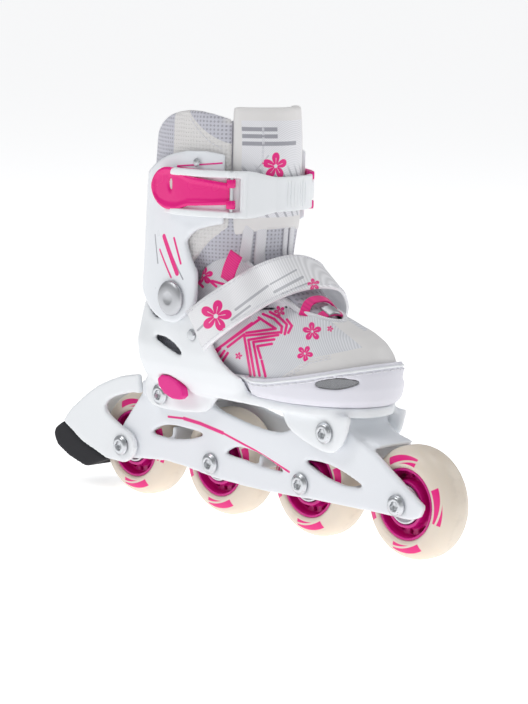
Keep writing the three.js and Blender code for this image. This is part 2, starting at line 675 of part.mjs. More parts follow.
// The soft upper over the forefoot, from its bottom edge inside the toe shell to the top of the throat.
const vampProfile = [
  { z: 87, tip: TOE_LENGTH - 4, halfWidth: TOE_HALF_WIDTH - 3.8, waist: 26.6 },
  { z: 94, tip: TOE_LENGTH - 3.4, halfWidth: TOE_HALF_WIDTH - 3.3, waist: 30 },
  { z: 102, tip: TOE_LENGTH - 4.4, halfWidth: TOE_HALF_WIDTH - 4.4, waist: 33 },
  { z: 108, tip: TOE_LENGTH - 6.6, halfWidth: TOE_HALF_WIDTH - 6.4, waist: 33 },
  { z: 114, tip: TOE_LENGTH - 11.5, halfWidth: TOE_HALF_WIDTH - 10, waist: 33, flare: 30 },
  { z: 119, tip: TOE_LENGTH - 20, halfWidth: TOE_HALF_WIDTH - 14.5, waist: 32.6, flare: 32 },
  { z: 124, tip: TOE_LENGTH - 35, halfWidth: TOE_HALF_WIDTH - 20.5, waist: 31.8, flare: 33 },
  { z: 130, tip: TOE_LENGTH - 49, halfWidth: TOE_HALF_WIDTH - 30, waist: 29.6, flare: 33 },
];
const THROAT_TOP = 158;
// Above the toe box the upper leans back to the leg, so its rings grow round a centre that moves back.
const instepProfile = [
  { z: 137, front: 26, halfWidth: 29 },
  { z: 146, front: 13, halfWidth: 30.6 },
  { z: THROAT_TOP, front: 0, halfWidth: 32 },
];

function vampSkin(inset, rear, extra = 0) {
  const low = vampProfile.map(({ z, tip, halfWidth, waist, flare }) =>
    toeRing({ z, tip: tip - inset * 1.25, halfWidth: halfWidth - inset, waist: waist - inset, rear, flare }),
  );
  const high = instepProfile.map(({ z, front, halfWidth }) =>
    instepRing({ z: z === THROAT_TOP ? z + extra : z, front: front - inset * 1.5, halfWidth: halfWidth - inset, rear }),
  );
  return skinned([...low, ...high]);
}

// A level ring of the instep with as many points as a toe ring: its round front starts behind the toe's.
function instepRing({ z, front, halfWidth, rear }) {
  const steps = 5;
  const arc = 12;
  const reach = 45;
  const centre = front - reach;
  const ring = [];
  for (let i = 0; i < steps; i++) ring.push(new THREE.Vector3(mix(rear, centre, i / steps), -halfWidth, z));
  for (let i = 0; i <= arc; i++) {
    const angle = Math.PI * (i / arc - 0.5);
    ring.push(new THREE.Vector3(centre + reach * Math.cos(angle), halfWidth * Math.sin(angle), z));
  }
  for (let i = steps - 1; i >= 0; i--) ring.push(new THREE.Vector3(mix(rear, centre, i / steps), halfWidth, z));
  return ring;
}

// The wedge between the lacing edges, seen from above.
function throat(inset) {
  const edge = [[-70, 19 - inset], [6, 18 - inset], [44 - inset, 8 - inset]];
  return outline(...edge.map(([x, y]) => [x, -y]), [50 - inset, 0], ...edge.reverse());
}
const QUARTER_REAR = -41;

function vamp() {
  const outer = vampSkin(0, QUARTER_REAR);
  const inner = vampSkin(VAMP_WALL, QUARTER_REAR - 20, 6);
  const collarLine = outline(
    [-60, 80],
    [-60, 134],
    [[-41, 139], [-34, 148.4], [-26, 154.6], [-18, 157], [-4, 154], [10, 149]],
    [60, 200],
    [120, 200],
    [120, 80],
  );
  // The bottom stays open, so the walls stand on the liner's sides.
  const { z, tip, halfWidth, waist } = vampProfile[0];
  const bottom = { tip: tip - 1.25 * VAMP_WALL, halfWidth: halfWidth - VAMP_WALL, waist: waist - VAMP_WALL };
  const opening = skinned(
    [z - 7, z + 0.4].map((level) => toeRing({ ...bottom, z: level, rear: QUARTER_REAR - 20 })),
  );
  return cut(outer, inner, opening, alongZ(throat(0), 112, 190)).intersect(alongY(collarLine, -60, 60));
}
addPart("vamp", vamp(), colour.fabric);

// ---------------------------------------------------------------- liner and tongue
// The joint between the foot and the ankle parts of the liner lies on planes through the pivot.
const FOOT_JOINT = outline(
  [-140, 70],
  [-140, 138],
  [PIVOT.x, PIVOT.z + 4],
  [-20, 152],
  [40, 186],
  [140, 186],
  [140, 70],
);
const ANKLE_JOINT = outline(
  [-140, 152],
  [PIVOT.x, PIVOT.z + 13],
  [-26, 166],
  [30, 206],
  [60, 300],
  [-140, 300],
);

function footSkin(inset, lift) {
  const heel = [
    { z: SOLE_TOP + GAP + lift, half: 23.4, rear: -96, front: 78 },
    { z: 94, half: 27, rear: -99.6, front: 79 },
    { z: 102, half: 29.6, rear: -101.6, front: 78 },
    { z: 114, half: 24.4, rear: -101.6, front: 64 },
    { z: 130, half: 18.4, rear: -94.6, front: 23 },
    { z: 137, half: 20.3, rear: -93.6, front: 9 },
    { z: 146, half: 24, rear: -93, front: -2 },
    { z: 170, half: 29.6, rear: -93, front: -12 },
  ];
  const rings = heel.map(({ z, half, rear, front }) =>
    legRing({
      z,
      halfWidth: half - inset,
      rear: rear + inset,
      front: front - inset * 1.3,
      rearCentre: -66,
      frontCentre: Math.min(TOE_CENTRE, front - 30),
    }),
  );
  return skinned(rings);
}

function linerBoot() {
  const cavity = footSkin(LINER_WALL, LINER_WALL);
  const shaft = skinned([
    legRing({ z: 120, halfWidth: 15, rear: -91, front: -14, rearCentre: -60 }),
    legRing({ z: 180, halfWidth: 24, rear: -89, front: -14, rearCentre: -60 }),
  ]);
  const tip = alongZ(throat(-1), 104, 200).intersect(box(12, 60, -30, 30, 100, 200));
  return cut(
    footSkin(0, 0),
    cavity,
    shaft,
    tip,
    alongZ(throat(2), 104, 200),
  ).intersect(alongY(FOOT_JOINT, -60, 60));
}
addPart("liner_boot", linerBoot(), colour.mesh);

const collarTop = outline(
  [-130, 120],
  [-130, 222],
  [[-95, 223], [-80, 226.4], [-62, 236], [-43, 240.4], [-26, 238.6], [-12, 234]],
  [30, 230],
  [30, 120],
);
const sector = (from, to, radius = 90) => {
  const shape = new THREE.Shape();
  const cx = CUFF_FRONT_CENTRE;
  shape.moveTo(cx, 0);
  const steps = 6;
  for (let i = 0; i <= steps; i++) {
    const angle = mix(from, to, i / steps);
    shape.lineTo(cx + radius * Math.cos(angle), radius * Math.sin(angle));
  }
  return shape;
};
const TONGUE_EDGE = 0.76; // angle from the front to the tongue's edge, at the ankle

function linerCollar() {
  const outer = skinned([
    legRing({ z: 130, halfWidth: 33, rear: -93, front: -7 }),
    legRing({ z: 152, halfWidth: 36, rear: -94.6, front: -5 }),
    legRing({ z: 170, halfWidth: 37.3, rear: -94.8, front: -1.6 }),
    legRing({ z: 205, halfWidth: 37.3, rear: -93.5, front: -1 }),
    legRing({ z: 245, halfWidth: 36.4, rear: -90, front: -1 }),
  ]);
  const inner = skinned([
    legRing({ z: 120, halfWidth: 27, rear: -87, front: -13 }),
    legRing({ z: 170, halfWidth: 37.3 - COLLAR_WALL, rear: -94.8 + COLLAR_WALL, front: -1.6 - COLLAR_WALL }),
    legRing({ z: 205, halfWidth: 37.3 - COLLAR_WALL, rear: -93.5 + COLLAR_WALL, front: -1 - COLLAR_WALL }),
    legRing({ z: 250, halfWidth: 36.4 - COLLAR_WALL, rear: -90 + COLLAR_WALL, front: -1 - COLLAR_WALL }),
  ]);
  const front = alongZ(sector(-TONGUE_EDGE - 0.012, TONGUE_EDGE + 0.012), 100, 260);
  return cut(
    outer.subtract(inner),
    front,
  ).intersect(alongY(collarTop, -60, 60)).intersect(alongY(ANKLE_JOINT, -60, 60));
}
addPart("liner_collar", linerCollar(), colour.mesh);

function tongueLower() {
  const side = outline(
    [49, 119.6],
    [[40, 125.4], [30, 131.6], [18, 139], [8, 146.4], [0, 155]],
    [-6, 151.6],
    [[4, 141.6], [14, 134], [26, 126.4], [36, 120.6], [44, 115.6]],
  );
  return alongY(side, -40, 40).intersect(alongZ(throat(0.8), 100, 200));
}
addPart("tongue_lower", tongueLower(), colour.fabric);

function tongueUpper() {
  const rings = (inset) => [
    legRing({ z: 160, halfWidth: 34 - inset, rear: -90, front: 0 - inset }),
    legRing({ z: 180, halfWidth: 35.4 - inset, rear: -90, front: 1.6 - inset }),
    legRing({ z: 225, halfWidth: 35.4 - inset, rear: -90, front: 2.2 - inset }),
    legRing({ z: 243.4, halfWidth: 34.4 - inset, rear: -90, front: 0.6 - inset }),
  ];
  const inner = skinned([
    legRing({ z: 150, halfWidth: 28, rear: -90, front: -7 }),
    ...rings(COLLAR_WALL).slice(1, 3),
    legRing({ z: 250, halfWidth: 28.4, rear: -90, front: -6 }),
  ]);
  const wedge = alongZ(sector(-TONGUE_EDGE, TONGUE_EDGE), 100, 260);
  const ends = outline([-40, 170], [-16, 168], [10, 178], [40, 178], [40, 250], [-40, 250]);
  return cut(skinned(rings(0)), inner).intersect(wedge).intersect(alongY(ends, -60, 60));
}
addPart("tongue_upper", tongueUpper(), colour.fabric);

function footbed() {
  const plan = new THREE.Shape();
  const halfWidth = 18.6;
  const heel = -68;
  plan.moveTo(heel, -halfWidth);
  plan.lineTo(TOE_CENTRE, -halfWidth);
  plan.absellipse(TOE_CENTRE, 0, 33, halfWidth, -Math.PI / 2, Math.PI / 2, false, 0);
  plan.lineTo(heel, halfWidth);
  plan.absellipse(heel, 0, 20, halfWidth, Math.PI / 2, (3 * Math.PI) / 2, false, 0);
  const z = SOLE_TOP + LINER_WALL + 2 * GAP;
  return alongZ(plan, z, z + FOOTBED_THICKNESS);
}
addPart("footbed", footbed(), colour.mesh);

// ---------------------------------------------------------------- cuff
const CUFF_PROFILE = [
  { z: 112, rear: -104.5 },
  { z: 130, rear: -103.4 },
  { z: 190, rear: -99 },
  { z: 222, rear: -96 },
];
const cuffRing = (inset) => ({ z, rear }) =>
  legRing({
    z,
    halfWidth: CUFF_HALF_WIDTH - inset,
    rear: rear + inset,
    front: CUFF_FRONT_CENTRE + CUFF_FRONT_REACH - inset,
  });

function cuff() {
  const outer = skinned(CUFF_PROFILE.map(cuffRing(0)));
  const inner = skinned(
    [{ z: 105, rear: -104.9 }, ...CUFF_PROFILE.slice(1, 3), { z: 230, rear: -95.3 }].map(cuffRing(CUFF_WALL)),
  );
  const silhouette = outline(
    [-120, 133],
    [[-103, 131.6], [-86, 130], [-72, 122.4], [-60, 117.6], [PIVOT.x, 116], [-38.4, 121.4], [-31, 130]],
    [[-30, 146], [-35, 156], [-38.6, 165]],
    [[-30, 172.6], [-8, 178], [8, 180.6]],
    [20, 182],
    [20, 209],
    [[6, 212], [-27, 218], [-50, 215], [-64, 210], [-80, 203], [-96, 199]],
    [-120, 198],
  );
  const front = alongZ(sector(-TONGUE_EDGE - 0.1, TONGUE_EDGE + 0.1), 100, 260);
  const window = outline(
    [0, 147],
    [[9, 149], [13, 161], [9, 173], [0, 175]],
    [[-9, 173], [-13, 161], [-9, 149], [0, 147]],
  );
  const rearWindow = solid(
    new THREE.ExtrudeGeometry(
      window,
      { depth: 40, bevelEnabled: false },
    ).rotateX(Math.PI / 2).rotateZ(-Math.PI / 2),
  ).translate([-85, 0, 0]);
  const pivots = rodY(around(PIVOT_RADIUS + GAP, 16), -60, 60, PIVOT.x, PIVOT.z, 16);
  return cut(outer.subtract(inner).intersect(alongY(silhouette, -60, 60)), front, rearWindow, pivots);
}
addPart("cuff", cuff(), colour.white);

// The rivet that carries the cuff: a broad cap outside and a stem through the cuff and the shell.
function pivot(side) {
  const face = CUFF_HALF_WIDTH + GAP;
  const inside = SHELL_HALF_WIDTH - SHELL_WALL - GAP;
  const profile = [
    [0, face + 3.2],
    [5, face + 3],
    [9.6, face + 1.6],
    [10.4, face],
    [PIVOT_RADIUS, face],
    [PIVOT_RADIUS, inside],
    [0, inside],
  ].map(([r, y]) => [r, side * y]);
  return turned(profile, 20, PIVOT.x, PIVOT.z);
}
addPart("pivot_lateral", pivot(-1), colour.steel);
addPart("pivot_medial", pivot(1), colour.steel);

// ---------------------------------------------------------------- buckle
// The strap follows an ellipse round the front of the cuff; angles are from straight ahead, towards +Y.
const BAND_FRONT = CUFF_FRONT_REACH + 1.2; // inner face, from the ellipse's centre to its front
const BAND_SIDE = CUFF_HALF_WIDTH + 1.1;
const LEVER_LAYER = BAND_THICKNESS + 0.4; // how far out the lever's inner face lies
const LEVER_PIN_LAYER = LEVER_LAYER + KNUCKLE_RADIUS + 0.1;
const CATCH_ANGLE = 0.77;
const LEVER_ANGLE = -0.8;
const LEVER_END = -60;
const BASE_END = -52; // back end of the strap under the lever
const RAIL_END = -44.5;
const KNUCKLE = { bottom: BAND_HEIGHT - 5.6, top: BAND_HEIGHT + 5.6 };
const BASE = { bottom: BAND_HEIGHT - 13.4, top: BAND_HEIGHT + 13.4 };

const onBand = (offset, angle) => [
  CUFF_FRONT_CENTRE + (BAND_FRONT + offset) * Math.cos(angle),
  (BAND_SIDE + offset) * Math.sin(angle),
];

// A stretch of the band between two angles, and straight back along the outer side to x = back.
function bandPiece(near, far, from, to, z0, z1, back = null) {
  const steps = Math.max(2, Math.ceil(Math.abs(to - from) / 0.16));
  const outside = [];
  const inside = [];
  for (let i = 0; i <= steps; i++) {
    const angle = mix(from, to, i / steps);
    outside.push(onBand(far, angle));
    inside.push(onBand(near, angle));
  }
  if (back !== null) {
    outside.push([back, -BAND_SIDE - far]);
    inside.push([back, -BAND_SIDE - near]);
  }
  return alongZ(outline(outside[0], ...outside.slice(1), ...inside.reverse()), z0, z1);
}
const SIDEWAYS = -Math.PI / 2;

function buckleStrap() {
  const pin = onBand(BAND_THICKNESS / 2, CATCH_ANGLE);
  const half = BAND_WIDTH / 2;
  const lugs = LEVER_LAYER + LEVER_THICKNESS;
  const tip = (z0, z1) => bandPiece(-1, 5, CATCH_ANGLE - 0.13, CATCH_ANGLE + 0.1, z0, z1);
  let body = join(
    bandPiece(0, BAND_THICKNESS, CATCH_ANGLE - 0.02, -0.62, BAND_HEIGHT - half, BAND_HEIGHT + half),
    bandPiece(0, BAND_THICKNESS, -0.6, SIDEWAYS, BASE.bottom, BASE.top, BASE_END),
    bandPiece(1, lugs, -0.66, SIDEWAYS, BASE.top - 4, BASE.top, RAIL_END),
    bandPiece(1, lugs, -0.66, SIDEWAYS, BASE.bottom, BASE.bottom + 4, RAIL_END),
    bandPiece(1, lugs, -0.62, -0.68, BASE.bottom, BASE.top),
    bandPiece(1, LEVER_PIN_LAYER + 2, LEVER_ANGLE - 0.05, LEVER_ANGLE + 0.05, BASE.top - 4, BASE.top),
    bandPiece(1, LEVER_PIN_LAYER + 2, LEVER_ANGLE - 0.05, LEVER_ANGLE + 0.05, BASE.bottom, BASE.bottom + 4),
  );
  body = cut(body, tip(BAND_HEIGHT - 20, KNUCKLE.bottom), tip(KNUCKLE.top, BAND_HEIGHT + 20));
  const [x, y] = onBand(LEVER_PIN_LAYER, LEVER_ANGLE);
  return cut(
    body.add(rodZ(KNUCKLE_RADIUS, KNUCKLE.bottom, KNUCKLE.top, ...pin)),
    rodZ(around(HINGE_PIN_RADIUS + GAP, 8), 100, 300, ...pin, 8),
    rodZ(around(HINGE_PIN_RADIUS + GAP / 2, 8), 100, 300, x, y, 8),
  );
}
addPart("buckle_strap", buckleStrap(), colour.white);

function buckleLever() {
  const near = LEVER_LAYER;
  const far = near + LEVER_THICKNESS;
  const [x, y] = onBand(LEVER_PIN_LAYER, LEVER_ANGLE);
  const inner = { bottom: BASE.bottom + 4 + GAP, top: BASE.top - 4 - GAP };
  const body = join(
    bandPiece(near, far, LEVER_ANGLE - 0.03, SIDEWAYS, inner.bottom, inner.top, RAIL_END),
    box(LEVER_END, RAIL_END - GAP, -BAND_SIDE - far, -BAND_SIDE - near, BAND_HEIGHT - 12, BAND_HEIGHT + 12),
    box(RAIL_END - 1, RAIL_END + 1, -BAND_SIDE - far, -BAND_SIDE - near, inner.bottom, inner.top),
    rodZ(KNUCKLE_RADIUS, inner.bottom, inner.top, x, y),
  );
  const slot = box(-34, -18, -60, -30, BAND_HEIGHT - 2.5, BAND_HEIGHT + 2.5);
  return cut(body, slot, rodZ(around(HINGE_PIN_RADIUS + GAP, 8), 100, 300, x, y, 8));
}
addPart("buckle_lever", buckleLever(), colour.pink);
const leverPin = onBand(LEVER_PIN_LAYER, LEVER_ANGLE);
addPart("lever_pin", rodZ(HINGE_PIN_RADIUS, BASE.bottom, BASE.top, ...leverPin, 8), colour.steel);

function strapCatch() {
  const pin = onBand(BAND_THICKNESS / 2, CATCH_ANGLE);
  const bottom = BAND_HEIGHT - 11;
  const top = BAND_HEIGHT + 11;
  const plate = bandPiece(-0.8, 2.6, CATCH_ANGLE + 0.1, CATCH_ANGLE + 0.42, bottom, top);
  const lug = (z0, z1) => join(
    rodZ(KNUCKLE_RADIUS, z0, z1, ...pin),
    bandPiece(-0.8, 2.6, CATCH_ANGLE, CATCH_ANGLE + 0.12, z0, z1),
  );
  const body = join(plate, lug(bottom, KNUCKLE.bottom - GAP), lug(KNUCKLE.top + GAP, top));
  return cut(body, rodZ(around(HINGE_PIN_RADIUS + GAP / 2, 8), 100, 300, ...pin, 8));
}
addPart("strap_catch", strapCatch(), colour.pink);
const catchPin = onBand(BAND_THICKNESS / 2, CATCH_ANGLE);
addPart("catch_pin", rodZ(HINGE_PIN_RADIUS, BAND_HEIGHT - 11, BAND_HEIGHT + 11, ...catchPin, 8), colour.steel);
const STRAP_RIVET = { x: -30, z: 211, radius: 2.6 };
const cuffSide = (x) => CUFF_HALF_WIDTH * Math.sqrt(1 - ((x - CUFF_FRONT_CENTRE) / CUFF_FRONT_REACH) ** 2);
const rivetFace = -cuffSide(STRAP_RIVET.x - STRAP_RIVET.radius) - GAP;
addPart(
  "strap_rivet",
  domeRivet(STRAP_RIVET.x, STRAP_RIVET.z, rivetFace, -1, STRAP_RIVET.radius),
  colour.steel,
);

// A low domed rivet head on a wall that faces side along Y.
function domeRivet(x, z, y, side, radius) {
  const profile = [[0, y + side * 1.3], [radius * 0.7, y + side * 1], [radius, y], [0, y]];
  return turned(profile, 10, x, z);
}

// ---------------------------------------------------------------- instep strap, lace and tabs
// A flat band along hand-placed stations: [middle, outward direction].
function flatBand(stations, width, thickness) {
  const middles = stations.map(([point]) => new THREE.Vector3(...point));
  const rings = stations.map(([, outward], i) => {
    const along = middles[Math.min(i + 1, middles.length - 1)].clone().sub(middles[Math.max(i - 1, 0)]);
    const normal = new THREE.Vector3(...outward).normalize();
    const across = along.clone().cross(normal).normalize();
    normal.crossVectors(across, along.normalize());
    const corner = (a, n) =>
      middles[i].clone().addScaledVector(across, (a * width) / 2).addScaledVector(normal, (n * thickness) / 2);
    return [corner(1, 1), corner(-1, 1), corner(-1, -1), corner(1, -1)];
  });
  return skinned(rings);
}

const instepStations = [
  [[-24, -43.9, 115], [0, -1, 0]],
  [[-9, -43.8, 125.4], [0.05, -1, 0.1]],
  [[5, -39.6, 135.4], [0.35, -0.8, 0.45]],
  [[12.5, -27.5, 144.6], [0.55, -0.45, 0.7]],
  [[15, -10, 149], [0.65, -0.15, 0.75]],
  [[15.6, 9, 149.8], [0.65, 0.15, 0.75]],
  [[14.4, 26.4, 145.4], [0.5, 0.5, 0.7]],
  [[8, 39, 134], [0.3, 0.9, 0.35]],
  [[0, 40, 121], [0.1, 1, 0.1]],
  [[-4, 39.4, 109], [0, 1, 0]],
];
const STRAP_ANCHOR = { x: -2.6, z: 113 };
const anchorHole = rodY(SCREW_RADIUS + GAP, 30, 50, STRAP_ANCHOR.x, STRAP_ANCHOR.z, 8);
addPart("instep_strap", cut(flatBand(instepStations, STRAP_WIDTH, STRAP_THICKNESS), anchorHole), colour.fabric);

// The anchor rivet goes through the strap into the upper.
function anchorRivet() {
  const face = 41.6;
  const profile = [[0, face + 1.2], [3.4, face + 0.8], [3.8, face], [SCREW_RADIUS, face], [SCREW_RADIUS, 33.4], [0, 33.4]];
  return turned(profile, 10, STRAP_ANCHOR.x, STRAP_ANCHOR.z);
}
addPart("instep_rivet_medial", anchorRivet(), colour.steel);

function strapScrew() {
  const face = SHELL_HALF_WIDTH + 0.4 + GAP;
  const profile = [[0, -face - 1.3], [2.6, -face - 1.1], [3.4, -face], [SCREW_RADIUS, -face], [SCREW_RADIUS, -face + 3], [0, -face + 3]];
  return turned(profile, 10, STRAP_SCREW.x, STRAP_SCREW.z);
}
addPart("instep_screw", strapScrew(), colour.steel);

const laceStations = [
  [[44, -5.6, 126.8], [0.5, 0, 0.86]],
  [[40, 0, 128.4], [0.5, 0, 0.86]],
  [[33.4, 7.4, 133.2], [0.5, 0, 0.86]],
  [[28.6, 0, 135.8], [0.5, 0, 0.86]],
  [[24, -9.8, 138.8], [0.5, 0, 0.86]],
];
addPart("lace", flatBand(laceStations, 5, 1.4), colour.pink);
addPart("pull_tab", box(-11, -2.4, -35.6, -34, 147.2, 159.4), colour.pink);

// ---------------------------------------------------------------- size adjuster
function sizeButton() {
  const face = -34.4;
  const inner = BUTTON_SEAT - SPRING_HEIGHT - BUTTON_TRAVEL - 2 * GAP;
  return alongY(oval(BUTTON), face, inner);
}
addPart("size_button", sizeButton(), colour.pink);
addPart(
  "button_spring",
  rodY(3.4, BUTTON_SEAT - GAP - SPRING_HEIGHT, BUTTON_SEAT - GAP, BUTTON.x, BUTTON.z, 12),
  colour.steel,
);

function sizeRack() {
  const { x0, x1, y0, y1, z0 } = RACK;
  const pitch = 5;
  let bar = box(x0, x1, y0, y1, z0, TRAY_TOP);
  for (let x = x0 + pitch; x < x1 - 2; x += pitch) {
    bar = cut(bar, box(x - 1.2, x + 1.2, y0 - 1, y0 + 2.2, z0 - 1, TRAY_TOP + 1));
  }
  return bar;
}
addPart("size_rack", sizeRack(), colour.black);

// ---------------------------------------------------------------- the frame's origin on the ground
skate.updateMatrixWorld(true);
const extent = new THREE.Box3().setFromObject(skate);
const middle = extent.getCenter(new THREE.Vector3());
skate.position.set(-middle.x, -middle.y, -extent.min.z);

export default skate;
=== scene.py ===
"""A child's size-adjustable inline skate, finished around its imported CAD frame."""

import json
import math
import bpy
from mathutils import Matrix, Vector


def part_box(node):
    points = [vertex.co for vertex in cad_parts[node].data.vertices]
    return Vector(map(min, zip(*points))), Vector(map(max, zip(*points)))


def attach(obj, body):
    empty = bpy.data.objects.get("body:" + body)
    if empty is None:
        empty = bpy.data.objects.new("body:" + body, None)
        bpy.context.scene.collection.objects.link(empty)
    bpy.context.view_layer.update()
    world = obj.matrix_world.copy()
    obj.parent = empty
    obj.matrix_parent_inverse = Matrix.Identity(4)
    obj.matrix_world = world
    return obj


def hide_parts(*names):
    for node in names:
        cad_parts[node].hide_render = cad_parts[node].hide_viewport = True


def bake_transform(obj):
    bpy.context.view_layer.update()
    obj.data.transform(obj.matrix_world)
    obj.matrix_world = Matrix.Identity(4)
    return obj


bl_info = {
    "name": "Inline Skate",
    "version": (1, 0, 0),
    "blender": (4, 5, 0),
    "location": "View3D > Sidebar > Skate",
    "description": "Finishes an adjustable inline skate: wheels, frame, shell, soft boot, cuff and straps",
    "category": "Add Mesh",
}

import bmesh
import bpy
import numpy as np
from bpy.props import FloatProperty, FloatVectorProperty, IntProperty, PointerProperty
from mathutils import Matrix, Vector
from mathutils.bvhtree import BVHTree

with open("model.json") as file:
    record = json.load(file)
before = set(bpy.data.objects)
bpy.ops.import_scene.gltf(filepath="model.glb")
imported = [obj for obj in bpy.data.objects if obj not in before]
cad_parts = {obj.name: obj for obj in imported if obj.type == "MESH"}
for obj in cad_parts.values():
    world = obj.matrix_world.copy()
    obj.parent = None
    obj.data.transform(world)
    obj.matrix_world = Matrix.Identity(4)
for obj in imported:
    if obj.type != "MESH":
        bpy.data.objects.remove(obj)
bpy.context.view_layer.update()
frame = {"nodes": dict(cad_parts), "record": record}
NODES = frame["nodes"]
TAU = 2 * math.pi


def centre_of(node):
    """The middle of a CAD node's box, in millimetres."""
    low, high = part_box(node)
    return np.array((low + high) / 2) * 1000


# The drawing's origin is on the ground, halfway between the outer wheels, in the plane of the wheels.
ORIGIN = (centre_of("wheel_1_hub") + centre_of("wheel_4_hub")) / 2 * (1, 1, 0)
WHEELS = [centre_of(f"wheel_{i}_hub") - ORIGIN for i in range(1, 5)]
WHEEL_RADIUS = (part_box("wheel_1_tyre")[1].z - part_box("wheel_1_tyre")[0].z) * 500


# The prints are laid on from a screen that faces the outer front corner of the boot.
PRINT_MIDDLE = (-12.8, 0, 100.1)
PRINT_TURN, PRINT_TILT, PRINT_ROLL = (math.radians(v) for v in (45.95, 8.6, 1.4))
LEVEL_AXIS = np.array([math.cos(PRINT_TURN), math.sin(PRINT_TURN), 0])
RISING_AXIS = np.array(
    [
        -math.sin(PRINT_TURN) * math.sin(PRINT_TILT),
        math.cos(PRINT_TURN) * math.sin(PRINT_TILT),
        math.cos(PRINT_TILT),
    ]
)
PRINT_AXES = (
    (LEVEL_AXIS * math.cos(PRINT_ROLL) + RISING_AXIS * math.sin(PRINT_ROLL)).tolist(),
    (RISING_AXIS * math.cos(PRINT_ROLL) - LEVEL_AXIS * math.sin(PRINT_ROLL)).tolist(),
)


# The buckle band lies on an ellipse round the front of the cuff; the handle rides outside it.
BAND_CENTRE, BAND_REACH, BAND_SIDE, BAND_HEIGHT = -43.0, 46.2, 42.6, 194.0
LEVER_LAYER = 2.9

# The instep strap runs from the outer rivet over the instep to its inner anchor.
STRAP_WIDTH = 26.0
STRAP_LINE = (
    (-24, -43.9, 115),
    (-9, -43.6, 125.4),
    (4.5, -39.0, 135.4),
    (12.5, -26.5, 144.4),
    (15.4, -9, 149.2),
    (15.8, 9, 149.6),
    (13.8, 26, 145),
    (7.6, 37.4, 134),
    (1, 40, 121.6),
    (-4, 39.6, 109),
)
STRAP_OUT = (
    (0, -1, 0),
    (0.05, -1, 0.12),
    (0.3, -0.85, 0.42),
    (0.55, -0.5, 0.66),
    (0.65, -0.15, 0.75),
    (0.65, 0.15, 0.75),
    (0.5, 0.55, 0.65),
    (0.3, 0.88, 0.36),
    (0.1, 1, 0.12),
    (0, 1, 0),
)

# Which way the tapes over the throat face, from the outer side to the inner.
LACE_OUT = ((0.4, -0.5, 0.8), (0.45, -0.25, 0.9), (0.5, 0, 0.9), (0.45, 0.25, 0.9), (0.4, 0.5, 0.8))

# Radius of the sewing thread.
THREAD = 0.28

# The knitted sock behind the tongue: heights, half widths, rear and front ends.
SOCK = (
    (126, 137, 146, 152, 160, 172, 184),
    (25, 26, 27.6, 30.5, 34, 36.4, 36.4),
    (-92, -91.5, -91, -91.5, -92.5, -93, -93),
    (18, 8, 1, -1, -2.4, -1.5, -1.5),
)


def metres(points):
    """Drawing points in millimetres as frame points in metres."""
    return (np.asarray(points, float) + ORIGIN) / 1000


def millimetres(points):
    """Frame points in metres as drawing points in millimetres."""
    return np.asarray(points, float) * 1000 - ORIGIN


# ------------------------------------------------------------------------------------------ settings


def colour_property(name, description, default):
    """A colour swatch of the finishes' group."""
    return FloatVectorProperty(
        name=name, description=description, default=default, subtype="COLOR", size=3, min=0, max=1
    )


class SkateFinishes(bpy.types.PropertyGroup):
    """Colours of the skate's finishes."""

    plastic: colour_property("Plastic", "White moulded plastic", (0.84, 0.865, 0.9))
    sole: colour_property("Sole", "Lavender-white toe shell", (0.79, 0.785, 0.85))
    pink: colour_property("Pink", "Hot pink of the buckle and prints", (0.86, 0.008, 0.235))
    magenta: colour_property("Magenta", "Wheel hubs", (0.66, 0.006, 0.25))
    urethane: colour_property("Urethane", "Cream cast wheels", (0.80, 0.71, 0.60))
    cloth: colour_property("Cloth", "Silvery white upper", (0.70, 0.71, 0.74))
    leather: colour_property("Leatherette", "Off-white toe cap and patches", (0.80, 0.785, 0.775))
    mesh: colour_property("Mesh", "Grey-lilac spacer mesh", (0.60, 0.60, 0.665))
    grey: colour_property("Grey", "Grey printed bars", (0.36, 0.36, 0.40))


class SkateSizes(bpy.types.PropertyGroup):
    """Fineness and softness of the skate's surfaces."""

    voxel: FloatProperty(
        name="Voxel", description="Cell of the moulded pieces", default=0.0011, unit="LENGTH"
    )
    fillet: IntProperty(name="Fillet", description="Smoothing rounds on moulded edges", default=5, min=0)
    weave: FloatProperty(name="Weave", description="Rib spacing of the cloth", default=0.0015, unit="LENGTH")


# ------------------------------------------------------------------------------------------ shader maths


class Value:
    """A socket that adds Math nodes when it is used in an expression."""

    def __init__(self, finish, socket):
        self.finish, self.socket = finish, socket

    def math(self, operation, *others):
        values = [self.socket] + [getattr(o, "socket", o) for o in others]
        node = self.finish.node("ShaderNodeMath", {"operation": operation}, dict(enumerate(values)))
        return Value(self.finish, node.outputs[0])

    def __add__(self, other):
        return self.math("ADD", other)

    __radd__ = __add__

    def __mul__(self, other):
        return self.math("MULTIPLY", other)

    __rmul__ = __mul__

    def __sub__(self, other):
        return self.math("SUBTRACT", other)

    def __rsub__(self, other):
        return (self * -1) + other

    def __truediv__(self, other):
        return self.math("DIVIDE", other)

    def __abs__(self):
        return self.math("ABSOLUTE")

    def __pow__(self, other):
        return self.math("POWER", other)

    def __or__(self, other):
        return self.math("MAXIMUM", other)

    def __and__(self, other):
        return self.math("MINIMUM", other)

    def sin(self):
        return self.math("SINE")

    def step(self, low, high):
        """A soft step from 0 at low to 1 at high, or down where low is the larger."""
        node = self.finish.node(
            "ShaderNodeMapRange",
            {"interpolation_type": "SMOOTHSTEP"},
            {"Value": self.socket, "From Min": low, "From Max": high},
        )
        return Value(self.finish, node.outputs[0])


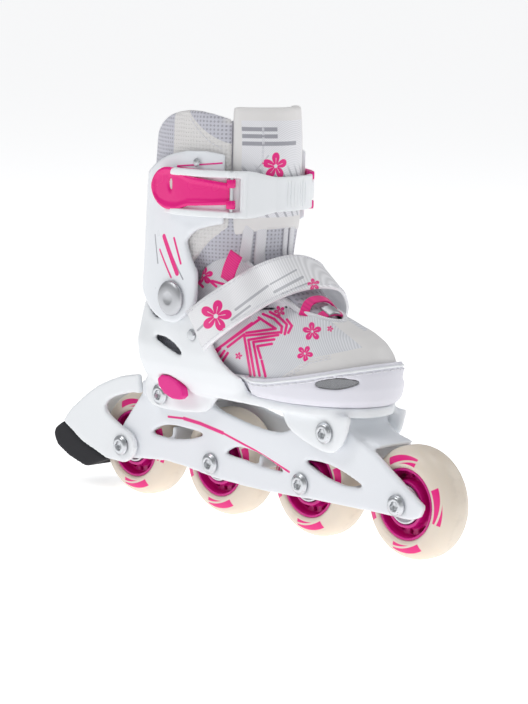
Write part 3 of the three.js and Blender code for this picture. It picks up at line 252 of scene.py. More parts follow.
class Finish:
    """One material under construction, with drawing coordinates in millimetres as x, y and z."""

    def __init__(self, name, **shader):
        self.material = bpy.data.materials.new(name)
        self.material.use_nodes = True
        self.tree = self.material.node_tree
        self.shader = self.tree.nodes["Principled BSDF"]
        self.set(**shader)
        coordinates = self.node("ShaderNodeTexCoord", {}, {}).outputs["Object"]
        scaled = self.node(
            "ShaderNodeVectorMath",
            {"operation": "MULTIPLY_ADD"},
            {0: coordinates, 1: (1000, 1000, 1000), 2: tuple(-ORIGIN)},
        )
        self.place = scaled.outputs[0]
        split = self.node("ShaderNodeSeparateXYZ", {}, {0: self.place})
        self.x, self.y, self.z = (Value(self, s) for s in split.outputs)

    def screen(self):
        """Coordinates across and up a printing screen that faces the outer front corner of the boot."""
        across, up = (
            self.x * axis[0] + self.y * axis[1] + self.z * axis[2] - float(np.dot(axis, PRINT_MIDDLE))
            for axis in PRINT_AXES
        )
        return across, up

    def node(self, kind, settings, inputs):
        """Makes a node, gives it its settings, then its socket values or links."""
        made = self.tree.nodes.new(kind)
        for key, value in settings.items():
            setattr(made, key, value)
        for key, value in inputs.items():
            if isinstance(value, Value):
                value = value.socket
            if isinstance(value, bpy.types.NodeSocket):
                self.tree.links.new(value, made.inputs[key])
            else:
                made.inputs[key].default_value = value
        return made

    def set(self, **values):
        """Sets or links sockets of the shader, named with underscores for spaces."""
        for key, value in values.items():
            socket = self.shader.inputs[key.replace("_", " ")]
            value = getattr(value, "socket", value)
            if isinstance(value, bpy.types.NodeSocket):
                self.tree.links.new(value, socket)
            else:
                socket.default_value = (*value, 1) if socket.type == "RGBA" else value
        return self

    def noise(self, scale, detail=2.0):
        """Noise of about 0 to 1 with features of scale millimetres."""
        made = self.node(
            "ShaderNodeTexNoise", {}, {"Vector": self.place, "Scale": 1 / scale, "Detail": detail}
        )
        return Value(self, made.outputs[0])

    def cells(self, scale):
        """Distance to the nearest cell point, with cells of scale millimetres."""
        made = self.node("ShaderNodeTexVoronoi", {}, {"Vector": self.place, "Scale": 1 / scale})
        return Value(self, made.outputs[0])

    def mix(self, mask, low, high):
        """The colour low where the mask is 0 and high where it is 1."""
        made = self.node("ShaderNodeMix", {"data_type": "RGBA"}, {0: mask})
        for index, colour in ((6, low), (7, high)):
            if isinstance(colour, bpy.types.NodeSocket):
                self.tree.links.new(colour, made.inputs[index])
            else:
                made.inputs[index].default_value = (*colour, 1)
        return made.outputs[2]

    def bump(self, height, distance, strength=1.0):
        """Feeds the normal from a height between 0 and 1, distance millimetres tall."""
        made = self.node(
            "ShaderNodeBump", {}, {"Height": height, "Distance": distance / 1000, "Strength": strength}
        )
        return self.set(Normal=made.outputs[0])

    # Prints: masks over two drawing coordinates, 1 inside and 0 outside.

    def turned(self, u, v, at, angle):
        """Coordinates about a point, turned by an angle in degrees."""
        c, s = math.cos(math.radians(angle)), math.sin(math.radians(angle))
        u, v = u - at[0], v - at[1]
        return u * c + v * s, v * c - u * s

    def flower(self, u, v, at, radius, angle=0.0, soft=0.25):
        """Five round petals: the radius swells with the size of the cosine of 2.5 times the angle."""
        a, b = self.turned(u, v, at, angle)
        reach = (a * a + b * b) ** 0.5
        turn = b.math("ARCTAN2", a)
        petal = abs((turn * 2.5).math("COSINE")) ** 0.55
        edge = petal * (0.8 * radius) + 0.16 * radius
        vein = abs((turn * 2.5).sin()).step(0.05, 0.12) | reach.step(0.55 * radius, 0.6 * radius)
        eye = reach.step(0.1 * radius, 0.16 * radius)
        return (edge - reach).step(-soft, soft) * vein * eye

    def stroke(self, u, v, start, end, width, soft=0.2):
        """A straight stroke with round ends: the distance to the segment is under half the width."""
        along = np.subtract(end, start)
        length = float(along @ along)
        a, b = u - start[0], v - start[1]
        t = (a * float(along[0]) + b * float(along[1])) / length
        t = (t | 0) & 1
        da, db = a - t * float(along[0]), b - t * float(along[1])
        reach = (da * da + db * db) ** 0.5
        return reach.step(width / 2 + soft, width / 2 - soft)

    def path(self, u, v, points, width, soft=0.2):
        """Strokes joined end to end."""
        mask = None
        for start, end in zip(points, points[1:]):
            stroke = self.stroke(u, v, start, end, width, soft)
            mask = stroke if mask is None else mask | stroke
        return mask


def tints():
    """The finishes' colours by name."""
    group = bpy.context.scene.skate_finishes
    return {key: tuple(getattr(group, key)) for key in SkateFinishes.__annotations__}


# ------------------------------------------------------------------------------------------ geometry


def piece(name, points, faces, body, slot, finish, *replaced):
    """A mesh object from drawing points, smooth shaded, riding on a body and standing for CAD nodes."""
    mesh = bpy.data.meshes.new(name)
    mesh.from_pydata(metres(points).tolist(), [], [list(face) for face in faces])
    return register_piece(name, mesh, body, slot, finish, *replaced)


def closed_piece(name, points, faces, body, slot, finish, *replaced, merge=1e-6):
    """A piece whose doubled points are merged and whose faces all look outwards."""
    made = piece(name, points, faces, body, slot, finish, *replaced)
    outward(made.data, merge)
    return made


def body_of(node):
    """The body that the record gives a node to."""
    bodies = frame["record"]["behaviour"]["bodies"]
    return next(name for name, nodes in bodies.items() if node in nodes)


def register_piece(name, mesh, body, slot, finish, *replaced):
    """Links a finished mesh as a piece of the skate; with no body it is left unattached."""
    for polygon in mesh.polygons:
        polygon.use_smooth = True
    mesh.materials.clear()
    mesh.materials.append(finish)
    made = bpy.data.objects.new(name, mesh)
    bpy.context.collection.objects.link(made)
    if body:
        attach(made, body)
    if replaced:
        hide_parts(*replaced)
    return made


def grid_faces(rows, columns, closed=True):
    """Quads of a grid of points, closed across the columns if asked."""
    i, j = np.meshgrid(np.arange(rows - 1), np.arange(columns if closed else columns - 1), indexing="ij")
    k = (j + 1) % columns
    quads = np.stack([i * columns + j, i * columns + k, (i + 1) * columns + k, (i + 1) * columns + j], -1)
    return quads.reshape(-1, 4)


def lathe(profile, sides, centre, axis="y", radius_at=None):
    """A profile of (radius, height) turned round a line along an axis through the centre.

    Each point is centre + radius * (cosine, sine) + height along the axis. radius_at may change the
    radius with the row and the angle. A profile that starts and ends on the axis closes itself.
    """
    profile = np.asarray(profile, float)
    angle = np.arange(sides) / sides * TAU
    radius = np.repeat(profile[:, :1], sides, 1)
    if radius_at is not None:
        radius = radius_at(radius, np.arange(len(profile))[:, None], angle[None, :])
    height = np.repeat(profile[:, 1:], sides, 1)
    across, up = radius * np.cos(angle), radius * np.sin(angle)
    rows = (across, height, up) if axis == "y" else (across, up, height)
    points = np.stack(rows, -1).reshape(-1, 3) + centre
    faces = grid_faces(len(profile), sides)
    if axis == "y":
        faces = faces[:, ::-1]
    return points, faces


def joined(parts):
    """One point array and face list from several."""
    points, faces, start = [], [], 0
    for part_points, part_faces in parts:
        points.append(np.asarray(part_points, float))
        faces += [[int(v) + start for v in face] for face in part_faces]
        start += len(part_points)
    return np.concatenate(points), faces


def outward(mesh, merge=1e-6):
    """Merges doubled points and turns every face outwards."""
    work = bmesh.new()
    work.from_mesh(mesh)
    bmesh.ops.remove_doubles(work, verts=work.verts, dist=merge)
    degenerate = [face for face in work.faces if face.calc_area() < 1e-13]
    bmesh.ops.delete(work, geom=degenerate, context="FACES_ONLY")
    bmesh.ops.recalc_face_normals(work, faces=work.faces)
    work.to_mesh(mesh)
    work.free()
    return mesh


def tube(path, radius, sides=8):
    """A round section carried along a path, with rings square to the path and capped ends."""
    path = np.asarray(path, float)
    along = np.gradient(path, axis=0)
    along /= np.linalg.norm(along, axis=1)[:, None]
    guide = np.where(np.abs(along[:, 2:]) < 0.9, [[0, 0, 1.0]], [[1.0, 0, 0]])
    across = np.cross(along, guide)
    across /= np.linalg.norm(across, axis=1)[:, None]
    other = np.cross(along, across)
    angle = np.arange(sides) / sides * TAU
    ring = np.cos(angle)[None, :, None] * across[:, None] + np.sin(angle)[None, :, None] * other[:, None]
    radius = np.broadcast_to(np.asarray(radius, float), (len(path),))[:, None, None]
    points = (path[:, None] + radius * ring).reshape(-1, 3)
    faces = grid_faces(len(path), sides).tolist()
    last = (len(path) - 1) * sides
    return points, faces + [list(range(sides))[::-1], list(range(last, last + sides))]


def resampled(path, step):
    """The same line with points step apart."""
    path = np.asarray(path, float)
    length = np.concatenate([[0], np.cumsum(np.linalg.norm(np.diff(path, axis=0), axis=1))])
    count = max(2, int(round(length[-1] / step)) + 1)
    at = np.linspace(0, length[-1], count)
    return np.stack([np.interp(at, length, path[:, axis]) for axis in range(3)], -1)


def curved(points, step=1.0):
    """A smooth line through a few points: a Catmull-Rom spline, resampled."""
    p = np.asarray(points, float)
    p = np.concatenate([2 * p[:1] - p[1:2], p, 2 * p[-1:] - p[-2:-1]])
    t = np.linspace(0, 1, 12, endpoint=False)[:, None]
    spans = []
    for a, b, c, d in zip(p, p[1:], p[2:], p[3:]):
        square, cube = (2 * a - 5 * b + 4 * c - d) * t**2, (3 * (b - c) + d - a) * t**3
        spans.append(0.5 * (2 * b + (c - a) * t + square + cube))
    line = np.concatenate([*spans, p[-2:-1]])
    return line if step is None else resampled(line, step)


def tape_line(middles, outs, across, out):
    """A line beside a tape's middle: across it and out from it, square to its run."""
    at = np.linspace(0, 1, len(middles))
    outs = np.stack([np.interp(at, np.linspace(0, 1, len(outs)), outs[:, axis]) for axis in range(3)], -1)
    along = np.gradient(middles, axis=0)
    side = np.cross(along, outs)
    side /= np.linalg.norm(side, axis=1)[:, None]
    up = np.cross(side, along)
    up /= np.linalg.norm(up, axis=1)[:, None]
    if np.ndim(across):
        middles, side, up = middles[:, None], side[:, None], up[:, None]
        across, out = across[None, :, None], out[None, :, None]
    return middles + side * across + up * out


def tape(middles, outs, width, thickness):
    """A flat band along a line: superellipse sections of the exponent 8."""
    turn = np.arange(56) / 56 * TAU
    reach = (np.abs(np.cos(turn)) ** 8 + np.abs(np.sin(turn)) ** 8) ** (-1 / 8)
    rows = tape_line(middles, outs, reach * np.cos(turn) * width / 2, reach * np.sin(turn) * thickness / 2)
    points = rows.reshape(-1, 3)
    faces = grid_faces(len(middles), 56).tolist()
    last = len(points) - 56
    return points, faces + [list(range(56)), list(range(last, last + 56))[::-1]]


def stitches(path, length, gap, radius=0.32):
    """A row of short plump threads along a path, one every length + gap."""
    path = resampled(path, (length + gap) / 4)
    threads = []
    for start in range(0, len(path) - 4, 4):
        thread = path[start : start + 4]
        threads.append(tube(thread, radius * np.array([0.55, 1, 1, 0.55]), 6))
    return joined(threads)


def mesh_of(node, merge=2e-5):
    """A merged copy of a CAD node's mesh."""
    return outward(NODES[node].data.copy(), merge)


def evaluated(mesh, *modifiers):
    """The mesh after modifiers, each given as (type, settings)."""
    holder = bpy.data.objects.new("holder", mesh)
    bpy.context.collection.objects.link(holder)
    for kind, settings in modifiers:
        modifier = holder.modifiers.new(kind, kind)
        for key, value in settings.items():
            setattr(modifier, key, value)
    graph = bpy.context.evaluated_depsgraph_get()
    result = bpy.data.meshes.new_from_object(holder.evaluated_get(graph))
    bpy.data.objects.remove(holder)
    return result


def points_of(mesh):
    """The mesh's points in drawing millimetres."""
    flat = np.empty(len(mesh.vertices) * 3, np.float32)
    mesh.vertices.foreach_get("co", flat)
    return millimetres(flat.reshape(-1, 3))


def move_points(mesh, points):
    """Puts drawing points back into the mesh."""
    mesh.vertices.foreach_set("co", metres(points).astype(np.float32).ravel())
    mesh.update()


def relaxed(mesh, rounds):
    """Moves each point halfway to the mean of its neighbours, again and again."""
    edges = np.empty(len(mesh.edges) * 2, np.int32)
    mesh.edges.foreach_get("vertices", edges)
    a, b = edges.reshape(-1, 2).T
    points = points_of(mesh)
    size = len(points)
    count = np.bincount(np.concatenate([a, b]), minlength=size)[:, None]
    for _ in range(rounds):
        sums = [
            np.bincount(a, points[b, axis], size) + np.bincount(b, points[a, axis], size)
            for axis in range(3)
        ]
        points = points + 0.5 * (np.stack(sums, -1) / np.maximum(count, 1) - points)
    move_points(mesh, points)
    return mesh


def rounded_facets(points, centre, front, width, rear_centre=None, rear=None, facet=math.pi / 12):
    """Presses the flat facets of an oval CAD wall out to the true oval.

    About a centre, with x over its reach and y over its half width, a facet at the angle a lies at
    cos(facet / 2) / cos(a - middle) of the oval, so each point moves out by the inverse of that.
    """
    out = points.copy()
    for middle_x, reach, side in ((centre, front, 1), (rear_centre, rear, -1)):
        if middle_x is None:
            continue
        across, along = points[:, 1] / width, (points[:, 0] - middle_x) / reach
        here = side * along > 0
        angle = np.arctan2(across, along)
        off = (angle % facet) - facet / 2
        grow = np.cos(off) / math.cos(facet / 2)
        grow = np.where(here, grow, 1)
        out[:, 0] = np.where(here, middle_x + (points[:, 0] - middle_x) * grow, out[:, 0])
        out[:, 1] = np.where(here, points[:, 1] * grow, out[:, 1])
    return out


def moulded(node, body, slot, finish, shape=None, voxel=None, rounds=None):
    """A CAD piece with softened edges: voxels, then the true curve of its walls, then relaxing."""
    sizes = bpy.context.scene.skate_sizes
    mesh = mesh_of(node)
    mesh = evaluated(mesh, ("REMESH", {"mode": "VOXEL", "voxel_size": voxel or sizes.voxel}))
    if shape is not None:
        move_points(mesh, shape(points_of(mesh)))
    relaxed(mesh, sizes.fillet if rounds is None else rounds)
    return register_piece(f"{node}_finished", mesh, body, slot, finish, node)


def smooth(value):
    """0 below 0, 1 above 1 and the cubic 3v^2 - 2v^3 between."""
    value = np.clip(value, 0, 1)
    return value * value * (3 - 2 * value)


def draped(made, path, lift):
    """The path laid on the nearest surface of a piece and lifted off it."""
    tree = BVHTree.FromObject(made, bpy.context.evaluated_depsgraph_get())
    laid = []
    for point in metres(path):
        place, normal, _, _ = tree.find_nearest(Vector(point))
        laid.append(millimetres(np.array(place)) + np.array(normal) * lift)
    return np.array(laid)


def cast(made, path, lift=0.12):
    """The path of screen coordinates laid on the surface of a piece as the printing screen sees it."""
    tree = BVHTree.FromObject(made, bpy.context.evaluated_depsgraph_get())
    axes = np.array(PRINT_AXES)
    away = np.cross(axes[0], axes[1])
    laid = []
    for across, up in path:
        start = np.array(PRINT_MIDDLE) + across * axes[0] + up * axes[1] + 300 * away
        place, normal, _, _ = tree.ray_cast(Vector(metres(start)), Vector((-away).tolist()))
        if place is not None:
            laid.append(millimetres(np.array(place)) + np.array(normal) * lift)
    return np.array(laid)


# ------------------------------------------------------------------------------------------ finishes


def plastic(name, colour, roughness=0.33, **shader):
    """Moulded plastic with a faint grain and slightly uneven gloss."""
    made = Finish(name, Base_Color=colour, Specular_IOR_Level=0.5, **shader)
    cloud = made.noise(14.0)
    made.set(Roughness=cloud * 0.12 + (roughness - 0.06))
    return made.bump(made.noise(0.7), 0.02, 0.35)


def frame_plastic(tint):
    """White plastic with a long tapered pink pinstripe along the outer plate."""
    made = plastic("frame_plastic", tint["plastic"])
    line = [(-76, 54.5), (-62, 55.4), (-48, 54.5), (-28, 51.7), (0, 45.4), (28, 37.4)]
    stripe = made.path(made.x, made.z, line, 1.35, 0.2)
    for start, end in zip(line[1:3], line[2:4]):
        stripe = stripe | made.stroke(made.x, made.z, start, end, 2.2, 0.3)
    outer = made.y.step(-16.4, -17.0)
    made.set(Base_Color=made.mix(stripe * outer, tint["plastic"], tint["pink"]))
    return made.material


def cuff_plastic(tint):
    """White plastic with pink and grey blades printed along the front arm."""
    made = plastic("cuff_plastic", tint["plastic"], 0.3)
    outer = made.y.step(-30, -33)
    x, z = made.x, made.z
    blades = made.path(x, z, [(-44, 146), (-56, 166)], 3.4) | made.path(x, z, [(-49, 143), (-60, 158)], 1.4)
    blades = blades | made.path(x, z, [(-41, 152), (-47, 166)], 1.6)
    grey = made.path(x, z, [(-39, 143), (-52, 160)], 1.0) | made.path(x, z, [(-62, 150), (-66, 166)], 1.2)
    colour = made.mix(grey * outer, tint["plastic"], tint["grey"])
    made.set(Base_Color=made.mix(blades * outer, colour, tint["pink"]))
    return made.material


def lever_plastic(tint):
    """Pink plastic; the lens-shaped slot is painted a darker, warm white: the white strap behind it, with
    painted shade.
    """
    made = plastic("lever_plastic", tint["pink"], 0.26)
    across, up = (made.x + 44.4) / 1.4, (made.z - 198.0) / 3.2
    slot = (across * across + up * up).step(1.05, 0.9)
    # The slot's colour is the strap's white painted darker as shade under the lever.
    return made.set(Base_Color=made.mix(slot, tint["pink"], (0.74, 0.68, 0.66))).material


def urethane(tint):
    """Cream cast wheel with a worn tread and pink printed blocks round its shoulders."""
    made = Finish("urethane", Subsurface_Weight=0.12, Subsurface_Radius=(0.004, 0.003, 0.002))
    pitch = float(WHEELS[0][0] - WHEELS[1][0])
    u = (made.x + 2 * pitch).math("MODULO", pitch) - pitch / 2
    v = made.z - float(WHEEL_RADIUS)
    reach = (u * u + v * v) ** 0.5
    turn = v.math("ARCTAN2", u)
    band = reach.step(22.6, 22.9) * reach.step(27.6, 27.3)
    block = (turn * 4 + 1.2).sin().step(-0.1, 0.0)
    swoosh = (turn * 2 + 0.4).sin() * 2.6 + 25.2
    gap = abs(reach - swoosh).step(0.45, 0.7)
    side = abs(made.y).step(6.0, 6.4)
    mask = side * band * block * gap
    dirt = made.noise(5.0, 4.0).step(0.45, 0.8) * abs(made.y).step(7, 2) * 0.3
    base = made.mix(dirt, tint["urethane"], (0.55, 0.48, 0.41))
    made.set(Base_Color=made.mix(mask, base, tint["pink"]), Roughness=made.noise(9.0) * 0.14 + 0.3)
    return made.bump(made.noise(1.2), 0.03, 0.4).material


def steel(name="zinc_steel", colour=(0.62, 0.64, 0.66), roughness=0.3):
    """Plated steel with fine uneven polish."""
    made = Finish(name, Base_Color=colour, Metallic=1.0)
    made.set(Roughness=made.noise(1.6, 4.0) * 0.22 + (roughness - 0.1))
    return made.bump(made.noise(0.35), 0.01, 0.4).material


def rubber():
    """Black moulded rubber, a little dusty."""
    made = Finish("black_rubber", Base_Color=(0.018, 0.018, 0.02), Specular_IOR_Level=0.35)
    made.set(Roughness=made.noise(4.0) * 0.2 + 0.5)
    return made.bump(made.noise(0.6, 3.0), 0.05, 0.6).material


def spacer_mesh(name, colour, pitch=2.3, depth=0.5):
    """Knitted spacer mesh: rows of small eyes, painted darker inside as shade, in staggered lines."""
    made = Finish(name, Sheen_Weight=0.3, Specular_IOR_Level=0.25)
    around = made.y.math("ARCTAN2", made.x + 50) * 42
    u, v = around / pitch * TAU / 2, made.z / pitch * TAU / 2
    eye = ((u + v).sin() * (u - v).sin() + 1) * 0.5
    hole = eye.step(0.62, 0.85)
    # The eyes are painted darker as the shade inside them.
    eye_shade = tuple(0.62 * c for c in colour)
    made.set(Base_Color=made.mix(hole * 0.8, colour, eye_shade), Roughness=hole * 0.2 + 0.72)
    return made.bump(1 - hole, depth, 0.8)


def vent_mesh():
    """Fine silver wire cloth: bright crossing wires over eyes painted near black as the shade seen through
    the openings.
    """
    made = Finish("vent_mesh", Metallic=0.6)
    u, v = (made.x + made.y * 0.6) * (TAU / 1.3), made.z * (TAU / 1.1)
    wires = abs(u.sin()).step(0.8, 0.95) | abs(v.sin()).step(0.75, 0.95)
    # The eyes between the wires are painted near black as shade seen through the openings.
    made.set(Base_Color=made.mix(wires, (0.1, 0.1, 0.11), (0.62, 0.63, 0.65)), Roughness=wires * -0.2 + 0.6)
    return made.bump(wires, 0.3, 0.8).material


def woven(made, colour, pitch):
    """Fine diagonal ribs of a satin weave: a colour, with painted highlight on the rib crests and painted
    shade in the furrows, and a height.
    """
    rib = ((made.x + made.z + made.y * 0.35) * (TAU / pitch)).sin() * 0.5 + 0.5
    cross = ((made.x - made.z) * (TAU / (pitch * 0.6))).sin() * 0.5 + 0.5
    height = rib * 0.75 + cross * 0.25
    # The colour follows the rib height: painted highlight on the crests, painted shade in the furrows.
    light = tuple(min(1.0, c * 1.13) for c in colour)
    return made.mix(rib, tuple(0.9 * c for c in colour), light), height


def vamp_finish(tint):
    """Silvery ribbed cloth with pink prints at the sides and an off-white leatherette toe cap."""
    made = Finish("upper_cloth", Sheen_Weight=0.2, Specular_IOR_Level=0.4)
    pitch = bpy.context.scene.skate_sizes.weave * 1000
    cloth, height = woven(made, tint["cloth"], pitch)
    u, v = made.screen()
    lines = (
        [(-7.6, -12.9), (-11.3, 9.2), (9.7, 11.2)],
        [(-5.4, -13.3), (-8.9, 6.9), (8.0, 9.6)],
        [(-2.5, -13.3), (-6.1, 5.7), (5.7, 7.1)],
        [(0.8, -13.7), (-1.3, -5.0)],
        [(-1.8, -3.4), (-3.8, 3.3), (4.4, 4.6)],
        [(-10.1, 10.9), (6.6, 13.2), (-3.0, 19.6)],
        [(-0.6, 21.6), (5.8, 18.8), (10.1, 14.4), (9.7, 10.9)],
        [(3.4, 22.8), (8.9, 19.6), (12.9, 15.6), (11.7, 10.1)],
        [(13.0, 18.4), (15.7, 14.8), (13.7, 10.9)],
        [(-28.4, 0.6), (-2.2, 18.8)],
        [(-24.0, 3.7), (-6.9, 16.4)],
        [(-20.8, 2.9), (-11.3, 10.1)],
        [(-29.2, -1.8), (-25.2, 2.1)],
        [(-26.8, -5.0), (-22.8, 0.6)],
        [(-24.8, -6.6), (-20.8, -0.6)],
        [(-41.0, 43.4), (-35.5, 37.8)],
        [(-33.9, 43.4), (-27.6, 37.8)],
        [(-30.0, 41.0), (-22.0, 38.6)],
    )
    pink = None
    for line in lines:
        drawn = made.path(u, v, line, 1.55)
        pink = drawn if pink is None else pink | drawn
    blooms = (
        ((27.0, 11.5), 5.6, 20),
        ((22.8, -0.9), 4.8, 62),
        ((-14.5, -2.2), 2.2, 5),
        ((8.9, 23.2), 3.4, 40),
        ((37.1, 13.1), 1.9, 0),
        ((-34.7, 44.2), 5.6, 15),
    )
    for at, radius, angle in blooms:
        pink = pink | made.flower(u, v, at, radius, angle)
    pink = pink * made.y.step(2, -2)
    printed = made.mix(pink, cloth, tint["pink"])
    near = (v - (u * 0.656 - 20.4)).step(-0.2, 0.2)
    far = (v - (u * 0.208 - 8.9)).step(-0.2, 0.2)
    crest = (v - (48.6 - u * 0.837)).step(0.2, -0.2) | u.step(37.2, 35.2)
    mirror_cap = (made.x - (63 - abs(made.y) * abs(made.y) * 0.032)).step(0.3, -0.3)
    outer = made.y.step(8, 5)
    ribbed = (near | far) * crest * outer + mirror_cap * (1 - outer)
    cap = 1 - ribbed * made.x.step(76, 74)
    grain = made.cells(1.6) * 0.5 + made.noise(0.5) * 0.3
    leather = made.mix(made.noise(16.0), tint["leather"], tuple(0.94 * c for c in tint["leather"]))
    made.set(Base_Color=made.mix(cap, printed, leather), Roughness=cap * -0.12 + 0.56)
    made.set(Metallic=(1 - cap) * (1 - pink) * 0.16)
    return made.bump((1 - cap) * height + cap * grain, 0.14, 0.55).material


def liner_finish(tint):
    """Plain grey-lilac spacer mesh."""
    return spacer_mesh("liner_mesh", tint["mesh"]).material


def collar_finish(tint):
    """Spacer mesh, with a leatherette band towards the front and along the top edge."""
    made = spacer_mesh("collar_mesh", tint["mesh"])
    reach = (made.x + 6) / 30
    patch = made.x.step(-54.4, -53.6) * (reach * reach * 13 + 221 - made.z).step(-0.3, 0.3)
    rim = made.z.step(239, 241) | made.x.step(-22, -16) * made.z.step(232, 236)
    mesh_colour = made.shader.inputs["Base Color"].links[0].from_socket
    leather = tuple(0.97 * c for c in tint["leather"])
    return made.set(Base_Color=made.mix(patch | rim, mesh_colour, leather)).material


def tongue_finish(tint):
    """Off-white padding with a satin panel: grey bars, a pink flower and grey diagonals."""
    made = Finish("tongue_satin", Sheen_Weight=0.25, Specular_IOR_Level=0.45)
    y, z = made.y, made.z
    panel = y.step(-24.4, -24.0) * y.step(20.4, 20.0) * z.step(180, 181) * z.step(236.2, 235.4)
    satin, height = woven(made, (0.80, 0.80, 0.83), 1.0)
    bars = None
    for level, reach in ((231.0, -7.0), (227.0, -7.0), (222.8, 8.0)):
        bar = z.step(level - 1.3, level - 1.0) * z.step(level + 1.3, level + 1.0) * y.step(reach + 0.3, reach)
        bars = bar if bars is None else bars | bar
    slant = ((y * 1.5 + z) * (TAU / 9.5)).sin().step(0.55, 0.7) * z.step(212, 206)
    flower = made.flower(y, z, (-7.6, 210), 8.2, 18)
    stem = made.path(y, z, [(-12, 216), (-18, 208), (-10, 200)], 0.7) * 0.5
    ground = made.mix(panel, tint["leather"], satin)
    colour = made.mix((bars | slant * 0.7 | stem) * panel, ground, tint["grey"])
    made.set(Base_Color=made.mix(flower * panel, colour, tint["pink"]), Roughness=panel * -0.2 + 0.6)
    made.set(Metallic=panel * 0.12)
    return made.bump(panel * height + (1 - panel) * made.noise(0.8), 0.08, 0.5).material


def strap_finish(tint):
    """Satin webbing with two flowers and grey stripes."""
    made = Finish("strap_satin", Sheen_Weight=0.25, Specular_IOR_Level=0.5)
    satin, height = woven(made, (0.84, 0.84, 0.86), 1.1)
    u, v = made.screen()
    big = made.flower(u, v, (-27.4, 20.4), 9.6, 8)
    small = made.flower(u, v, (28.4, 38.6), 3.8, 30)
    bars = None
    for low, high, width in (
        ((-16.0, 24.0), (2.0, 37.4), 1.5),
        ((-18.4, 18.2), (-8.0, 26.0), 1.2),
        ((6.0, 34.0), (22.0, 42.8), 1.6),
        ((3.6, 38.4), (18.4, 47.0), 1.0),
        ((10.0, 33.0), (25.0, 39.4), 0.9),
        ((-38.0, 12.4), (-33.6, 16.4), 1.2),
    ):
        bar = made.stroke(u, v, low, high, width)
        bars = bar if bars is None else bars | bar
    outer = made.y.step(34, 28)
    colour = made.mix(bars * outer * 0.75, satin, tint["grey"])
    made.set(Base_Color=made.mix((big | small) * outer, colour, tint["pink"]))
    made.set(Roughness=made.noise(11.0) * 0.16 + 0.3, Metallic=0.12)
    return made.bump(height, 0.08, 0.5).material


def satin_ribbon():
    """Narrow satin tape with a fine lengthways weave."""
    made = Finish("satin_ribbon", Sheen_Weight=0.3, Specular_IOR_Level=0.5)
    satin, height = woven(made, (0.72, 0.72, 0.75), 0.9)
    made.set(Base_Color=satin, Roughness=made.noise(6.0) * 0.2 + 0.36, Metallic=0.1)
    return made.bump(height, 0.06, 0.5).material


def pink_webbing(tint):
    """Pink ribbed tape, its rib furrows painted darker as shade."""
    made = Finish("pink_webbing", Sheen_Weight=0.2, Specular_IOR_Level=0.4)
    rib = ((made.z + made.x * 0.5) * (TAU / 1.5)).sin() * 0.5 + 0.5
    # deep: the pink painted darker as shade in the rib furrows.
    deep = tuple(0.8 * c for c in tint["pink"])
    made.set(Base_Color=made.mix(rib, deep, tint["pink"]), Roughness=made.noise(5.0) * 0.15 + 0.5)
    return made.bump(rib, 0.25, 0.7).material


def finish(name):
    """The material of that name, made once."""
    if name in bpy.data.materials:
        return bpy.data.materials[name]
    tint = tints()
    makers = {
        "frame_plastic": lambda: frame_plastic(tint),
        "cuff_plastic": lambda: cuff_plastic(tint),
        "white_plastic": lambda: plastic("white_plastic", tint["plastic"]).material,
        "sole_plastic": lambda: plastic("sole_plastic", tint["sole"], 0.38).material,
        "pink_plastic": lambda: plastic("pink_plastic", tint["pink"], 0.28).material,
        "hub_plastic": lambda: plastic("hub_plastic", tint["magenta"], 0.3).material,
        "urethane": lambda: urethane(tint),
        "zinc_steel": steel,
        "satin_silver": lambda: steel("satin_silver", (0.55, 0.56, 0.58), 0.42),
        "black_rubber": rubber,
        "upper_cloth": lambda: vamp_finish(tint),
        "liner_mesh": lambda: liner_finish(tint),
        "collar_mesh": lambda: collar_finish(tint),
        "tongue_satin": lambda: tongue_finish(tint),
        "strap_satin": lambda: strap_finish(tint),
        "vent_mesh": vent_mesh,
        "pink_webbing": lambda: pink_webbing(tint),
        "lever_plastic": lambda: lever_plastic(tint),
        "satin_ribbon": satin_ribbon,
        "white_thread": lambda: plastic("white_thread", (0.78, 0.78, 0.82), 0.6).material,
    }
    return makers[name]()


# ------------------------------------------------------------------------------------------ operators


class SkateOperator(bpy.types.Operator):
    """Common ground of the skate's operators."""

    bl_options = {"UNDO"}

    def execute(self, context):
        self.make(context.scene.skate_sizes)
        return {"FINISHED"}


class SKATE_OT_camera(SkateOperator):
    """Sets the camera that sees the skate from its front outer side."""

    bl_idname = "skate.camera"
    bl_label = "Camera"

    def make(self, sizes):
        azimuth, elevation, roll = (math.radians(v) for v in (45.948, 8.593, 1.415))
        target = Vector(metres((-12.8, 0, 100.1)))
        back = Vector(
            (
                math.sin(azimuth) * math.cos(elevation),
                -math.cos(azimuth) * math.cos(elevation),
                math.sin(elevation),
            )
        )
        level = Vector((math.cos(azimuth), math.sin(azimuth), 0))
        right = level * math.cos(roll) + back.cross(level) * math.sin(roll)
        data = bpy.data.cameras.new("camera")
        data.sensor_fit = "VERTICAL"
        data.sensor_height = 36
        data.lens = 136.68
        data.clip_start = 0.1
        camera = bpy.data.objects.new("camera", data)
        bpy.context.collection.objects.link(camera)
        turn = Matrix((right, back.cross(right), back)).transposed().to_4x4()
        camera.matrix_world = Matrix.Translation(target + back * 1.5597) @ turn
        bpy.context.scene.camera = camera


